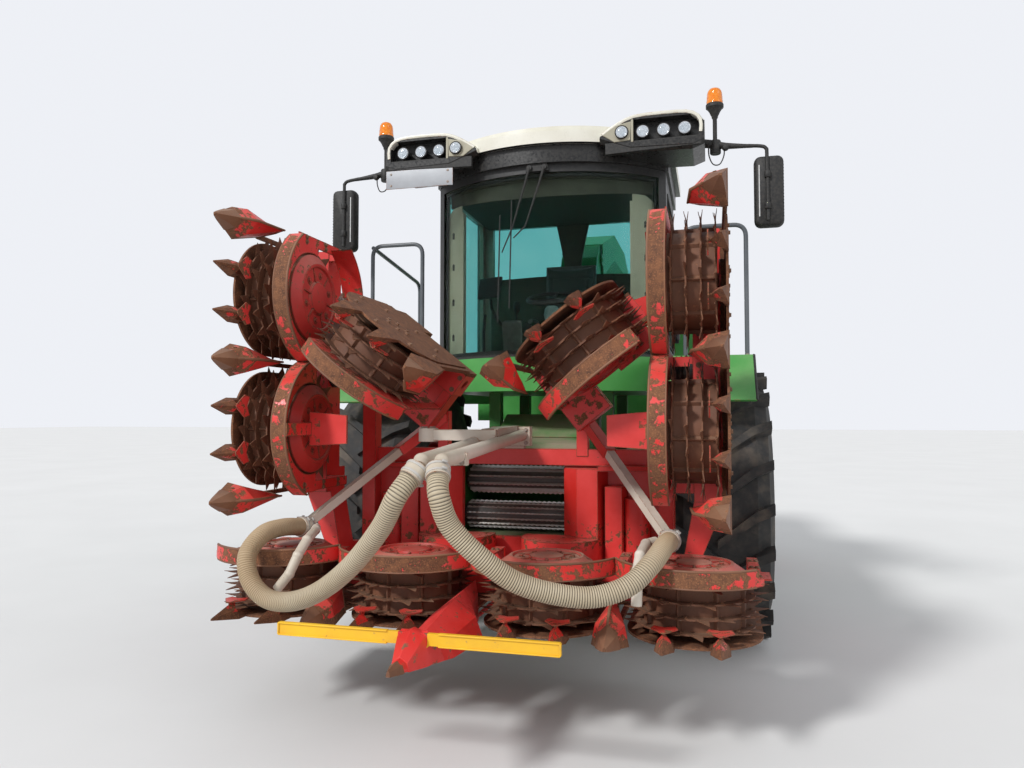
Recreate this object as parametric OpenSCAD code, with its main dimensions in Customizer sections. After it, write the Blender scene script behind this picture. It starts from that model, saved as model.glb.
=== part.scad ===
// Self-propelled forage harvester that carries a folded rotary maize header.
// Millimetres. The machine faces -Y, +X is the driver's left and +Z is up. The origin lies on the
// ground below the middle of the outline.

/* [Running gear] */
// Distance between the front and the rear axle
wheelbase = 2800; // [2700:10:2900]
// Front axle, measured from the middle of the outline
front_axle_y = -400; // [-430:10:-370]
// Front tyre's outer diameter
front_tyre_d = 1930; // [1880:10:1960]
// Front tyre's width
front_tyre_w = 700; // [640:10:710]
// Seat diameter of the front rim
front_rim_d = 965; // [900:5:1000]
// Middle plane of a front wheel, from the centreline
front_track_half = 1265; // [1260:5:1300]
// Rear tyre's outer diameter
rear_tyre_d = 1460; // [1400:10:1480]
// Rear tyre's width
rear_tyre_w = 540; // [480:10:560]
// Seat diameter of the rear rim
rear_rim_d = 762; // [700:2:780]
// Middle plane of a rear wheel, from the centreline
rear_track_half = 1170; // [1160:5:1200]
// Lugs on one side of a front tyre
front_lugs = 21; // [16:1:24]
// Lugs on one side of a rear tyre
rear_lugs = 19; // [14:1:22]
// Height of a tread lug
lug_h = 45; // [30:1:60]
// Spindle radius of the front hubs
front_spindle_r = 70; // [60:1:80]
// Spindle radius of the rear hubs
rear_spindle_r = 50; // [40:1:60]
// Kingpin of a steered rear wheel, from the centreline
kingpin_x = 830; // [820:1:835]
// Kingpin radius
kingpin_r = 35; // [25:1:40]

/* [Chassis] */
// Inner face of a chassis rail, from the centreline
rail_in = 400; // [390:5:410]
// Width of a chassis rail
rail_w = 90; // [70:5:100]
// Underside of the rails
rail_z = 1120; // [1110:5:1130]
// Depth of a rail
rail_h = 200; // [160:5:220]
// Front end of the rails
rail_front = -960; // [-970:5:-950]
// Rear end of the rails
rail_rear = 3300; // [3250:10:3350]
// Rear face of the bumper
rear_end = 3635; // [3600:5:3650]

/* [Cab] */
// Half the width of the cab over its front pillars
cab_half = 900; // [880:5:905]
// Height of the cab floor's underside
cab_z0 = 1790; // [1770:5:1810]
// Height of the cab's sill line
sill_z = 2040; // [2030:5:2050]
// Height of the cab's top edge
cab_z1 = 3450; // [3420:5:3480]
// Foremost line of the windscreen
screen_y = -1000; // [-1020:5:-980]
// Line of the front pillars
pillar_y = -600; // [-620:5:-580]
// Rear wall of the cab
cab_rear_y = 520; // [500:5:540]
// Wall thickness of the cab
cab_wall = 60; // [50:1:70]
// Glass thickness
glass_t = 8; // [6:1:10]
// Height of the roof's raised ears above the cab
ear_h = 310; // [295:5:330]
// Outer end of a roof ear, from the centreline
ear_x1 = 1190; // [1170:5:1200]

/* [Body] */
// Half the width of the engine hood
hood_half = 1130; // [1100:5:1150]
// Front face of the hood
hood_front = 1180; // [1160:5:1200]
// Rear face of the hood
hood_rear = 3480; // [3460:5:3500]
// Lower edge of the hood's sides
hood_z0 = 1560; // [1550:5:1580]
// Top of the hood at its front
hood_z1 = 2720; // [2700:5:2740]
// Fall of the hood's top towards the rear
hood_fall = 180; // [150:5:200]
// Thickness of the hood's walls
hood_wall = 30; // [20:1:40]

/* [Spout] */
// Turret axis, behind the middle of the outline
spout_y = 860; // [850:5:870]
// Half the width of the discharge duct
duct_half = 170; // [150:5:180]
// Wall of the discharge duct
duct_wall = 8; // [6:1:10]
// Height of the turret's seat
turret_z = 2640; // [2620:5:2660]

/* [Header] */
// Line of the divider tips
tip_row_y = -3000; // [-3010:5:-2990]
// Height of the divider tips
tip_z = 573; // [560:1:590]
// Distance between neighbouring rotors
rotor_pitch = 750; // [745:5:760]
// Rotor axes, behind the tips
rotor_back = 550; // [545:5:555]
// Radius over the teeth
tooth_r = 360; // [350:1:362]
// Root radius of the teeth
root_r = 296; // [285:1:305]
// Radius of the rotor's drum
drum_r = 250; // [240:1:260]
// Teeth on one disc
teeth = 18; // [14:1:24]
// Discs on one rotor
discs = 4; // [3:1:5]
// Distance between discs
disc_gap = 70; // [60:1:72]
// Thickness of a toothed disc
disc_t = 8; // [6:1:10]
// Top of the rotor above the tips
dome_h = 310; // [305:1:315]
// Radius of a rotor's stub shaft
stub_r = 40; // [35:1:50]
// Underside of the rotors' skid plates, below the tips
skid_drop = 38; // [34:1:42]
// Thickness of the skid plates
skid_t = 12; // [10:1:14]
// Front face of the cross beams, behind the tips
beam_front = 950; // [945:1:960]
// Height of the cross beams
beam_h = 172; // [160:1:180]
// Wall of the cross beams
beam_wall = 8; // [6:1:10]
// Wing hinge, from the centreline
wing_hinge_x = 1090; // [1085:1:1095]
// Height of the wing hinge above the tips
wing_hinge_h = 177; // [172:1:182]
// Outer unit's hinge, from the centreline with the wing down
outer_hinge_x = 2707; // [2700:1:2712]
// Height of the outer unit's hinge above the tips with the wing down
outer_hinge_h = 149; // [145:1:153]
// Fold of an outer unit against its wing, in degrees
outer_fold = 128; // [125:1:130]
// Radius of the fold hinges' pins
hinge_r = 22; // [18:1:25]
// Foremost point of the middle divider
nose_y = -3635; // [-3650:5:-3600]
// Radius of the hoods' rims over the rotors
hood_rim_r = 400; // [390:1:402]
// Underside of the hoods above the tips
hood_plate_h = 252; // [248:1:256]
// Top of the hoods' rims above the tips
rim_h = 330; // [320:1:332]

/* [Feeder] */
// Lift pivot of the feeder housing, from the middle of the outline
lift_y = -840; // [-850:1:-830]
// Height of the lift pivot
lift_z = 1150; // [1145:1:1155]
// Half the width of the feeder housing
feeder_half = 380; // [370:1:385]
// Radius of the feeder's round rear end
feeder_r = 296; // [280:1:298]
// Radius of the lift trunnions
trunnion_r = 55; // [50:1:58]
// Radius of the feed rolls' bodies
roll_r = 95; // [85:1:100]
// Half the width of the intake opening
intake_half = 330; // [320:1:340]

/* [Hoses] */
// Outer diameter of the corrugated hoses
hose_d = 96; // [80:2:100]

/* [Hidden] */

$fn = 64;
fit = 0.05;
free_gap = 6;
hood_shoulder_z = 2390;
seat_gap = 0.3;
rear_axle_y = front_axle_y + wheelbase;
front_wheel_z = front_tyre_d / 2;
rear_wheel_z = rear_tyre_d / 2;
rail_out = rail_in + rail_w;
rail_top = rail_z + rail_h;
screen_sag = pillar_y - screen_y;
screen_r = (cab_half * cab_half + screen_sag * screen_sag) / (2 * screen_sag);
tub_half = cab_half - 80;
gearbox_r = 110;
gearbox_top = 5;
drum_h0 = gearbox_top + 5;
plate_top = skid_t - skid_drop;
beam_top = plate_top + beam_h;
beam_hole_r = 30;
boom_pin_r = 20;
flap_pin_r = 10;
door_pin_r = 12;
panel_pin_r = 9;
centre_depth = 300;
wing_depth = 170;
tip_step = rotor_pitch / 3;
stub_top = 182;
green = "forestgreen";
red = "firebrick";
rust = "sienna";
cream = "antiquewhite";
dark = "dimgray";

// An upright box between two opposite corners
module box(lo, hi) translate(lo) cube(hi - lo);

// A profile in Y and Z, drawn out along X
module along_x(x0, x1) translate([x0, 0, 0]) rotate([90, 0, 90]) linear_extrude(x1 - x0) children();

// A profile in X and Z, drawn out along Y
module along_y(y0, y1) translate([0, y1, 0]) rotate([90, 0, 0]) linear_extrude(y1 - y0) children();

// A round bar from p to q
module rod(p, q, r) {
  d = q - p;
  translate(p) rotate([0, acos(d.z / norm(d)), atan2(d.y, d.x)]) cylinder(r = r, h = norm(d), $fn = 32);
}

// A square bar from p to q
module bar(p, q, w, h) {
  d = q - p;
  translate(p) rotate([0, acos(d.z / norm(d)), atan2(d.y, d.x)])
    translate([-h / 2, -w / 2, 0]) cube([h, w, norm(d)]);
}

// A solid through sections that have the same number of points
module loft(rings) {
  n = len(rings[0]);
  m = len(rings);
  sides = [for (k = [0:m - 2], i = [0:n - 1], s = [0, 1]) s == 0
    ? [k * n + i, (k + 1) * n + i, (k + 1) * n + (i + 1) % n]
    : [k * n + i, (k + 1) * n + (i + 1) % n, k * n + (i + 1) % n]];
  front = [[for (i = [0:n - 1]) i]];
  back = [[for (i = [n - 1:-1:0]) (m - 1) * n + i]];
  polyhedron([for (r = rings) each r], concat(front, sides, back), convexity = 4);
}

// A mirrored copy for the side: 1 is the driver's left, -1 the right
module on_side(side) mirror([side < 0 ? 1 : 0, 0, 0]) children();

// Tyre with chevron lugs, its axis along X
module tyre(d, w, rim_d, lugs) {
  carcass = d / 2 - lug_h;
  bead = rim_d / 2;
  wall = 36;
  half = w / 2;
  rotate([0, 90, 0]) rotate_extrude($fn = 96) polygon([
    [bead, -half * 0.84], [bead + (carcass - bead) * 0.3, -half * 0.97],
    [bead + (carcass - bead) * 0.62, -half * 0.98], [carcass - 45, -half * 0.88],
    [carcass, -half * 0.66], [carcass + 12, 0], [carcass, half * 0.66], [carcass - 45, half * 0.88],
    [bead + (carcass - bead) * 0.62, half * 0.98], [bead + (carcass - bead) * 0.3, half * 0.97],
    [bead, half * 0.84], [bead, half * 0.84 - wall],
    [bead + (carcass - bead) * 0.35, half * 0.97 - wall],
    [bead + (carcass - bead) * 0.6, half * 0.98 - wall], [carcass - 40 - wall, half * 0.7],
    [carcass - wall, 0], [carcass - 40 - wall, -half * 0.7],
    [bead + (carcass - bead) * 0.6, wall - half * 0.98],
    [bead + (carcass - bead) * 0.35, wall - half * 0.97], [bead, wall - half * 0.84]]);
  for (s = [-1, 1], k = [0:lugs - 1])
    rotate([(k + (s > 0 ? 0.5 : 0)) * 360 / lugs, 0, 0]) tyre_lug(s, carcass, half);
}

// One lug: from the tread's middle out over the shoulder, slanting back, its top on the tyre's outline
module tyre_lug(s, carcass, half) {
  thick = 52;
  lean = half * 0.75;
  intersection() {
    translate([0, -lean / 2, carcass - 42]) linear_extrude(60 + lug_h) polygon([
      [-s * 18, 0], [s * half * 0.62, lean * 0.66], [s * half * 0.95, lean * 0.86],
      [s * half * 0.95, lean * 0.86 + thick * 1.2], [s * half * 0.62, lean * 0.66 + thick * 1.3],
      [-s * 18, thick]]);
    translate([-half, 0, 0]) rotate([0, 90, 0]) cylinder(r = carcass + lug_h, h = 2 * half, $fn = 96);
  }
}

// Rim with a dished disc and a hub, its axis along X and its outside towards +X
module rim(rim_d, w, spindle_r, offset_x) {
  seat = rim_d / 2 - seat_gap;
  half = w * 0.42 - 36;
  rotate([0, 90, 0]) rotate_extrude($fn = 96) polygon([
    [spindle_r + fit, offset_x - 70], [spindle_r + fit, offset_x + 60], [150, offset_x + 60],
    [160, offset_x + 12], [seat * 0.62, offset_x + 12], [seat * 0.8, offset_x - 40],
    [seat - 60, offset_x - 40], [seat - 52, half - 20], [seat - 14, half + 18],
    [seat, half + 18], [seat, -half - 18], [seat - 14, -half - 18],
    [seat - 66, -half + 20], [seat - 72, offset_x - 52], [seat * 0.78, offset_x - 52],
    [seat * 0.6, offset_x], [150, offset_x], [140, offset_x - 70]]);
}

module front_tyre(side) color(dark) translate([side * front_track_half, front_axle_y, front_wheel_z])
  tyre(front_tyre_d, front_tyre_w, front_rim_d, front_lugs);

module front_rim(side) color(red) translate([side * front_track_half, front_axle_y, front_wheel_z])
  on_side(side) rim(front_rim_d, front_tyre_w, front_spindle_r, 60);

module rear_tyre(side) color(dark) translate([side * rear_track_half, rear_axle_y, rear_wheel_z])
  tyre(rear_tyre_d, rear_tyre_w, rear_rim_d, rear_lugs);

module rear_rim(side) color(red) translate([side * rear_track_half, rear_axle_y, rear_wheel_z])
  on_side(side) rim(rear_rim_d, rear_tyre_w, rear_spindle_r, 40);

module front_axle() color(dark) for (side = [-1, 1]) on_side(side) {
  box([0, front_axle_y - 130, front_wheel_z - 150], [700, front_axle_y + 130, rail_z]);
  translate([690, front_axle_y, front_wheel_z]) rotate([0, 90, 0]) {
    cylinder(r = 150, h = front_track_half - 710);
    cylinder(r = front_spindle_r, h = front_track_half - 572);
  }
}

module rear_axle() color(dark) difference() {
  union() {
    box([-680, rear_axle_y - 80, rear_wheel_z - 90], [680, rear_axle_y + 80, rear_wheel_z + 90]);
    for (s = [-1, 1]) {
      box([min(s * 670, s * kingpin_x), rear_axle_y - 55, rear_wheel_z - 70],
        [max(s * 670, s * kingpin_x), rear_axle_y + 55, rear_wheel_z + 70]);
      translate([s * kingpin_x, rear_axle_y, rear_wheel_z - 70]) cylinder(r = 70, h = 140);
    }
  }
  for (s = [-1, 1]) translate([s * kingpin_x, rear_axle_y, rear_wheel_z - 75])
    cylinder(r = kingpin_r + fit, h = 150);
}

module knuckle(side) color(dark) on_side(side) translate([0, rear_axle_y, rear_wheel_z]) {
  translate([kingpin_x, 0, -100]) cylinder(r = kingpin_r, h = 200);
  for (z = [-106, 76]) box([kingpin_x - 65, -70, z], [kingpin_x + 90, 70, z + 30]);
  box([kingpin_x + 76, -70, -106], [kingpin_x + 110, 70, 106]);
  rotate([0, 90, 0]) translate([0, 0, kingpin_x + 100])
    cylinder(r = rear_spindle_r, h = rear_track_half + 98 - kingpin_x - 100);
}

module chassis() color(green) {
  for (side = [-1, 1]) on_side(side) {
    difference() {
      union() {
        box([rail_in, rail_front, rail_z], [rail_out, rail_rear, rail_top]);
        along_x(rail_in, rail_out) polygon([[rail_front, lift_z - 100], [lift_y + 110, lift_z - 100],
          [lift_y + 160, rail_z + 10], [rail_front, rail_z + 10]]);
      }
      translate([rail_in - 1, lift_y, lift_z]) rotate([0, 90, 0])
        cylinder(r = trunnion_r + fit, h = rail_w + 2);
    }
    for (y = [pillar_y + 20, cab_rear_y - 120]) box([rail_in, y, rail_top], [rail_out, y + 90, cab_z0]);
    box([rail_in, hood_front + 40, rail_top], [rail_out, hood_front + 120, hood_z0 + 200]);
    box([rail_out, hood_front + 40, hood_z0 + 130],
      [hood_half - hood_wall, hood_front + 120, hood_z0 + 200]);
    box([rail_out, rail_rear - 120, rail_z + 120], [hood_half - hood_wall, rail_rear - 40, rail_top]);
    box([hood_half - hood_wall - 80, rail_rear - 120, rail_top],
      [hood_half - hood_wall, rail_rear - 40, hood_z0 + 200]);
  }
  for (y = [rail_rear - 100, rear_axle_y - 1000])
    box([-rail_in, y, rail_z + 30], [rail_in, y + 100, rail_top - 30]);
  box([-rail_out, rear_axle_y - 130, rear_wheel_z + 90], [rail_out, rear_axle_y + 130, rail_z]);
}

module engine() color(dark) box([-rail_out, rear_axle_y - 800, rail_top],
  [rail_out, rear_axle_y + 600, rail_top + 780]);

// Chopper housing, rising duct behind the cab and the turret seat on top
module crop_duct() color(green) {
  difference() {
    along_x(-feeder_half, feeder_half) difference() {
      polygon([[lift_y + 40, lift_z - feeder_r], [front_axle_y - 136, lift_z - feeder_r],
        [front_axle_y - 136, rail_z], [spout_y - 120, rail_z], [spout_y + 170, 1400],
        [spout_y + 170, 1900], [spout_y - 170, 1900], [spout_y - 170, 1620],
        [pillar_y + 150, 1620], [lift_y + 40, lift_z + feeder_r]]);
      translate([lift_y, lift_z]) circle(r = feeder_r + free_gap);
    }
    for (x = [-feeder_half - 1, duct_half + 40]) box([x, spout_y - 200, 1500],
      [x + feeder_half - duct_half - 39, spout_y + 200, 1901]);
  }
  translate([0, spout_y, 0]) difference() {
    union() {
      box([-duct_half, -170, 1899], [duct_half, 170, turret_z - 30]);
      translate([0, 0, turret_z - 60]) cylinder(r = 270, h = 60);
    }
    box([-duct_half + duct_wall, -162, 1950], [duct_half - duct_wall, 162, turret_z + 1]);
  }
}

module spout_turret() color(green) translate([0, spout_y, 0]) {
  difference() {
    union() {
      translate([0, 0, turret_z + seat_gap]) cylinder(r = 265, h = 40);
      along_x(-duct_half, duct_half) polygon([[-170, turret_z + seat_gap], [170, turret_z + seat_gap],
        [170, turret_z + 200], [230, turret_z + 330], [150, turret_z + 640], [-60, turret_z + 480],
        [-170, turret_z + 260]]);
    }
    along_x(-duct_half + duct_wall, duct_half - duct_wall) polygon([[-162, turret_z - 1],
      [162, turret_z - 1], [162, turret_z + 205], [222, turret_z + 330], [260, turret_z + 900],
      [146, turret_z + 628], [-56, turret_z + 472], [-162, turret_z + 256]]);
  }
  for (side = [-1, 1]) on_side(side) difference() {
    translate([duct_half - 1, 190, turret_z + 500]) rotate([0, 90, 0])
      cylinder(r = boom_pin_r, h = boom_half - duct_half + 6);
    box([0, -200, turret_z], [duct_half - duct_wall, 400, turret_z + 700]);
  }
}

spout_pivot = [spout_y + 190, turret_z + 500];

boom_half = duct_half + 20;
spout_tip = 3310;
flap_pivot = [spout_tip + 82, 3452];

// Open-bottomed channel whose cheeks turn on the turret's trunnions
module spout_boom() color(green) {
  difference() {
    union() {
      along_x(-boom_half, boom_half) spout_outline();
      along_x(-boom_half, boom_half) translate(spout_pivot) circle(r = 58);
    }
    along_x(-boom_half + duct_wall, boom_half - duct_wall) {
      spout_channel();
      translate(spout_pivot) circle(r = 59);
    }
    translate([-boom_half - 1, spout_pivot.x, spout_pivot.y]) rotate([0, 90, 0])
      cylinder(r = boom_pin_r + fit, h = 2 * boom_half + 2);
  }
  for (x = [-boom_half, boom_half - 12]) along_x(x, x + 12) polygon([
    [spout_tip + 20, 3390], [spout_tip + 60, 3380], [flap_pivot.x + 16, flap_pivot.y - 16],
    [flap_pivot.x + 16, flap_pivot.y + 16], [flap_pivot.x - 40, flap_pivot.y + 16],
    [spout_tip + 20, 3440]]);
  translate([-boom_half, flap_pivot.x, flap_pivot.y]) rotate([0, 90, 0])
    cylinder(r = flap_pin_r, h = 2 * boom_half);
}

module spout_outline() polygon([[spout_pivot.x + 60, spout_pivot.y - 150],
  [2000, 3320], [3000, 3330], [spout_tip, 3190], [spout_tip + 60, 3440], [3000, 3600], [2000, 3600],
  [spout_pivot.x + 10, spout_pivot.y + 160]]);

module spout_channel() polygon([[spout_pivot.x + 50, spout_pivot.y - 150 + duct_wall],
  [2000, 3320 + duct_wall], [3000, 3330 + duct_wall], [spout_tip + 120, 3136 + duct_wall],
  [spout_tip + 120, 3440], [spout_tip + 52, 3436], [3000, 3600 - duct_wall], [2000, 3600 - duct_wall],
  [spout_pivot.x, spout_pivot.y + 160 - duct_wall]]);

module spout_flap() color(red) difference() {
  along_x(-boom_half + 18, boom_half - 18) {
    translate(flap_pivot) circle(r = 20);
    polygon([[flap_pivot.x - 5, flap_pivot.y - 18], [flap_pivot.x + 98, flap_pivot.y - 175],
      [flap_pivot.x + 108, flap_pivot.y - 168], [flap_pivot.x + 14, flap_pivot.y + 12]]);
  }
  translate([-boom_half, flap_pivot.x, flap_pivot.y]) rotate([0, 90, 0])
    cylinder(r = flap_pin_r + fit, h = 2 * boom_half);
}

door_axis = [cab_half + 30, cab_rear_y - 110];
door_hinge_z = [sill_z + 260, cab_z1 - 300];

module cab_plan(half, inset) {
  intersection() {
    translate([0, screen_y + screen_r]) circle(r = screen_r - inset, $fn = 128);
    translate([inset - half, screen_y - 10]) square([2 * (half - inset), screen_sag + 10]);
  }
  translate([inset - half, pillar_y - 1]) square([2 * (half - inset), cab_rear_y - inset - pillar_y + 1]);
}

module cab_shell() color(green) {
  cab_walls();
  for (z = door_hinge_z) {
    box([cab_half - 1, door_axis.y - 14, z - 60], [door_axis.x + 14, door_axis.y + 14, z - 30]);
    translate([door_axis.x, door_axis.y, z - 31]) cylinder(r = door_pin_r, h = 61);
  }
}

module cab_walls() difference() {
  union() {
    translate([0, 0, cab_z0]) linear_extrude(sill_z - cab_z0) cab_plan(tub_half, 0);
    translate([0, 0, sill_z]) linear_extrude(cab_z1 - sill_z) cab_plan(cab_half, 0);
  }
  translate([0, 0, cab_z0 + 60]) linear_extrude(sill_z - cab_z0) cab_plan(tub_half, cab_wall);
  translate([0, 0, sill_z + 40]) linear_extrude(cab_z1 - sill_z - 100) cab_plan(cab_half, cab_wall);
  box([-cab_half + 50, screen_y - 10, sill_z + 20], [cab_half - 50, pillar_y + 10, cab_z1 - 60]);
  for (s = [-1, 1]) box([min(s * (cab_half - 100), s * (cab_half + 10)), pillar_y + 80, sill_z + 30],
    [max(s * (cab_half - 100), s * (cab_half + 10)), cab_rear_y - 120, cab_z1 - 60]);
  box([-cab_half + 140, cab_rear_y - 100, sill_z + 160], [cab_half - 140, cab_rear_y + 10, cab_z1 - 90]);
}

module cab_glass() color("lightblue", 0.4) {
  translate([0, 0, sill_z + 20 + seat_gap]) linear_extrude(cab_z1 - sill_z - 80 - 2 * seat_gap)
    intersection() {
      difference() {
        translate([0, screen_y + screen_r]) circle(r = screen_r - 10, $fn = 128);
        translate([0, screen_y + screen_r]) circle(r = screen_r - 10 - glass_t, $fn = 128);
      }
      translate([seat_gap + 50 - cab_half, screen_y - 10])
        square([2 * (cab_half - 50 - seat_gap), screen_sag + 20]);
    }
  box([-cab_half + 20, pillar_y + 80 + seat_gap, sill_z + 30 + seat_gap],
    [-cab_half + 20 + glass_t, cab_rear_y - 120 - seat_gap, cab_z1 - 60 - seat_gap]);
  box([-cab_half + 140 + seat_gap, cab_rear_y - 40, sill_z + 160 + seat_gap],
    [cab_half - 140 - seat_gap, cab_rear_y - 40 + glass_t, cab_z1 - 90 - seat_gap]);
}

// Low middle panel on a dark band, with a raised ear at each front corner
module cab_roof() color("whitesmoke") difference() {
  union() {
    translate([0, 0, cab_z1]) linear_extrude(131) roof_plan(40);
    translate([0, 0, cab_z1 + 130]) linear_extrude(86) roof_plan(0);
    translate([0, 0, cab_z1 + 215]) linear_extrude(50) roof_plan(50);
    translate([0, 0, cab_z1 + 264]) linear_extrude(30) roof_plan(130);
    for (side = [-1, 1]) on_side(side) hull() {
      along_x(ear_x0, ear_x0 + 10) ear_profile(110, 190);
      along_x(ear_x0 + 220, ear_x0 + 230) ear_profile(30, ear_top - cab_z1);
      along_x(ear_x1 - 90, ear_x1 - 80) ear_profile(20, ear_top - cab_z1);
      along_x(ear_x1 - 10, ear_x1) ear_profile(50, ear_top - cab_z1 - 70);
    }
  }
  for (side = [-1, 1]) on_side(side) box([ear_x0 + 230, ear_front - 20, cab_z1 + 95],
    [ear_x1 - 40, ear_front + 90, ear_top - 55]);
}

module roof_plan(inset) {
  intersection() {
    translate([0, screen_y - 80 + screen_r]) circle(r = screen_r - inset, $fn = 128);
    translate([inset - 960, screen_y - 100]) square([2 * (960 - inset), 600]);
  }
  translate([inset - 960, screen_y + 400]) square([2 * (960 - inset), 1180 - inset]);
}

ear_top = cab_z1 + ear_h;
ear_x0 = 460;
ear_front = screen_y - 30;
ear_back = ear_front + 420;

// Side view of an ear between two heights above the cab
module ear_profile(low, high) polygon([[ear_front, cab_z1 + low + 30], [ear_front + 30, cab_z1 + low],
  [ear_back, cab_z1 + low], [ear_back, cab_z1 + high - 60], [ear_back - 120, cab_z1 + high],
  [ear_front + 90, cab_z1 + high], [ear_front, cab_z1 + high - 40]]);

lamp_r = 50;
lamp_step = 145;
lamp_x0 = 765;
lamp_z = cab_z1 + 170;

module lamps() for (side = [-1, 1]) on_side(side) {
  color(dark) for (k = [0:2]) translate([lamp_x0 + k * lamp_step, ear_front + 90, lamp_z])
    rotate([90, 0, 0]) cylinder(r = lamp_r, h = 70);
  color(dark) translate([lamp_x0 - 145, ear_front - seat_gap, lamp_z - 5]) rotate([90, 0, 0])
    cylinder(r = 52, h = 30);
  color(red) translate([900, hood_rear, 1780]) rotate([-90, 0, 0]) cylinder(r = 60, h = 40);
}

module beacons() for (side = [-1, 1]) on_side(side) {
  color(dark) translate([1260, -870, 3560]) cylinder(r = 14, h = 220);
  color("orange") translate([1260, -870, 3780]) rotate_extrude() polygon([[0, 0], [62, 0], [60, 70],
    [44, 110], [0, 120]]);
}

module mirrors() color(dark) for (side = [-1, 1]) on_side(side) {
  box([ear_x1, -900, 3530], [1290, -840, 3560]);
  rod([1260, -870, 3500], [1260, -870, 3531], 20);
  rod([1260, -870, 3505], [1600, -900, 3470], 14);
  rod([1600, -900, 3475], [1610, -900, 2930], 12);
  translate([1520, -895, 2920]) mirror_head();
}

module mirror_head() difference() {
  along_x(0, 200) polygon([[0, 20], [30, 0], [95, 30], [95, 470], [30, 500], [0, 480]]);
  box([12, -1, 30], [188, 8, 470]);
}

module wipers() color(dark) for (s = [-1, 1]) on_side(s) {
  rod([60, screen_y - 30, cab_z1 - 30], [60, screen_y + 0.8, cab_z1 - 30], 14);
  rod([60, screen_y - 22, cab_z1 - 30], [300, screen_y + 5, sill_z + 560], 8);
}

module cab_interior() color(dark) {
  box([-260, -150, cab_z0 + 60], [260, 260, cab_z0 + 380]);
  box([-250, -170, cab_z0 + 380], [250, 260, cab_z0 + 500]);
  along_x(-240, 240) polygon([[180, cab_z0 + 500], [300, cab_z0 + 500], [380, cab_z0 + 1180],
    [300, cab_z0 + 1180]]);
  box([-480, -260, cab_z0 + 60], [-300, 240, cab_z0 + 640]);
  box([-70, -690, cab_z0 + 60], [70, -550, cab_z0 + 120]);
  rod([0, -620, cab_z0 + 115], [0, -470, cab_z0 + 720], 45);
  translate([0, -470, cab_z0 + 720]) rotate([20, 0, 0]) difference() {
    cylinder(r = 215, h = 30);
    for (a = [60, 180, 300]) rotate([0, 0, a]) translate([60, -60, -1]) cube([125, 120, 40]);
  }
}

module door_left() color(green) {
  difference() {
    box([cab_half - 50, pillar_y + 80 + free_gap, sill_z + 30 + free_gap],
      [cab_half, cab_rear_y - 120 - free_gap, cab_z1 - 60 - free_gap]);
    box([cab_half - 60, pillar_y + 140, sill_z + 90], [cab_half + 10, cab_rear_y - 180, cab_z1 - 120]);
  }
  for (z = door_hinge_z) difference() {
    union() {
      translate([door_axis.x, door_axis.y, z - 30 + seat_gap]) cylinder(r = 22, h = 60 - seat_gap);
      box([cab_half - 1, door_axis.y - 70, z - 25], [door_axis.x, door_axis.y, z + 25]);
    }
    translate([door_axis.x, door_axis.y, z - 40]) cylinder(r = door_pin_r + fit, h = 80);
    box([cab_half - 60, door_axis.y - 12, z - 60], [cab_half + 6, door_axis.y + 40, z + 60]);
  }
}

module door_glass() color("lightblue", 0.4) box([cab_half - 30, pillar_y + 140 + seat_gap,
  sill_z + 90 + seat_gap], [cab_half - 30 + glass_t, cab_rear_y - 180 - seat_gap,
  cab_z1 - 120 - seat_gap]);

module hood_profile(inset) polygon([[-hood_half + inset, hood_z0], [-hood_half + inset, hood_shoulder_z],
  [-hood_half + 180 + inset / 2, hood_z1 - inset], [hood_half - 180 - inset / 2, hood_z1 - inset],
  [hood_half - inset, hood_shoulder_z], [hood_half - inset, hood_z0]]);

panel_y0 = hood_front + 160;
panel_y1 = hood_front + 1360;
panel_z0 = hood_z0 + 240;
panel_z1 = hood_shoulder_z - 60;

module hood_side(inset) polygon([[hood_front + inset, hood_z0 - 1],
  [hood_front + inset, hood_z1 - inset], [hood_front + 900, hood_z1 - inset],
  [hood_rear - inset, hood_z1 - hood_fall - inset], [hood_rear - inset, hood_z0 - 1]]);

panel_axis = [hood_half + 20, panel_z1 + 12];
panel_hinge_y = [panel_y0 + 200, panel_y1 - 200];

module hood() color(green) {
  difference() {
    intersection() {
      along_y(hood_front, hood_rear) hood_profile(0);
      along_x(-hood_half - 1, hood_half + 1) hood_side(0);
    }
    intersection() {
      along_y(hood_front - 1, hood_rear + 1) hood_profile(hood_wall);
      along_x(-hood_half - 1, hood_half + 1) hood_side(hood_wall);
    }
    for (side = [-1, 1]) on_side(side)
      box([hood_half - hood_wall - 1, panel_y0, panel_z0], [hood_half + 1, panel_y1, panel_z1]);
    box([-800, hood_rear - hood_wall - 1, hood_z0 + 160], [800, hood_rear + 1, hood_z1 - 380]);
  }
  for (side = [-1, 1], y = panel_hinge_y) on_side(side) {
    box([hood_half - 1, y - 50, panel_axis.y - 12], [panel_axis.x + 12, y - 25, panel_axis.y + 12]);
    translate([panel_axis.x, y - 26, panel_axis.y]) rotate([-90, 0, 0]) cylinder(r = panel_pin_r, h = 50);
  }
}

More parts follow.
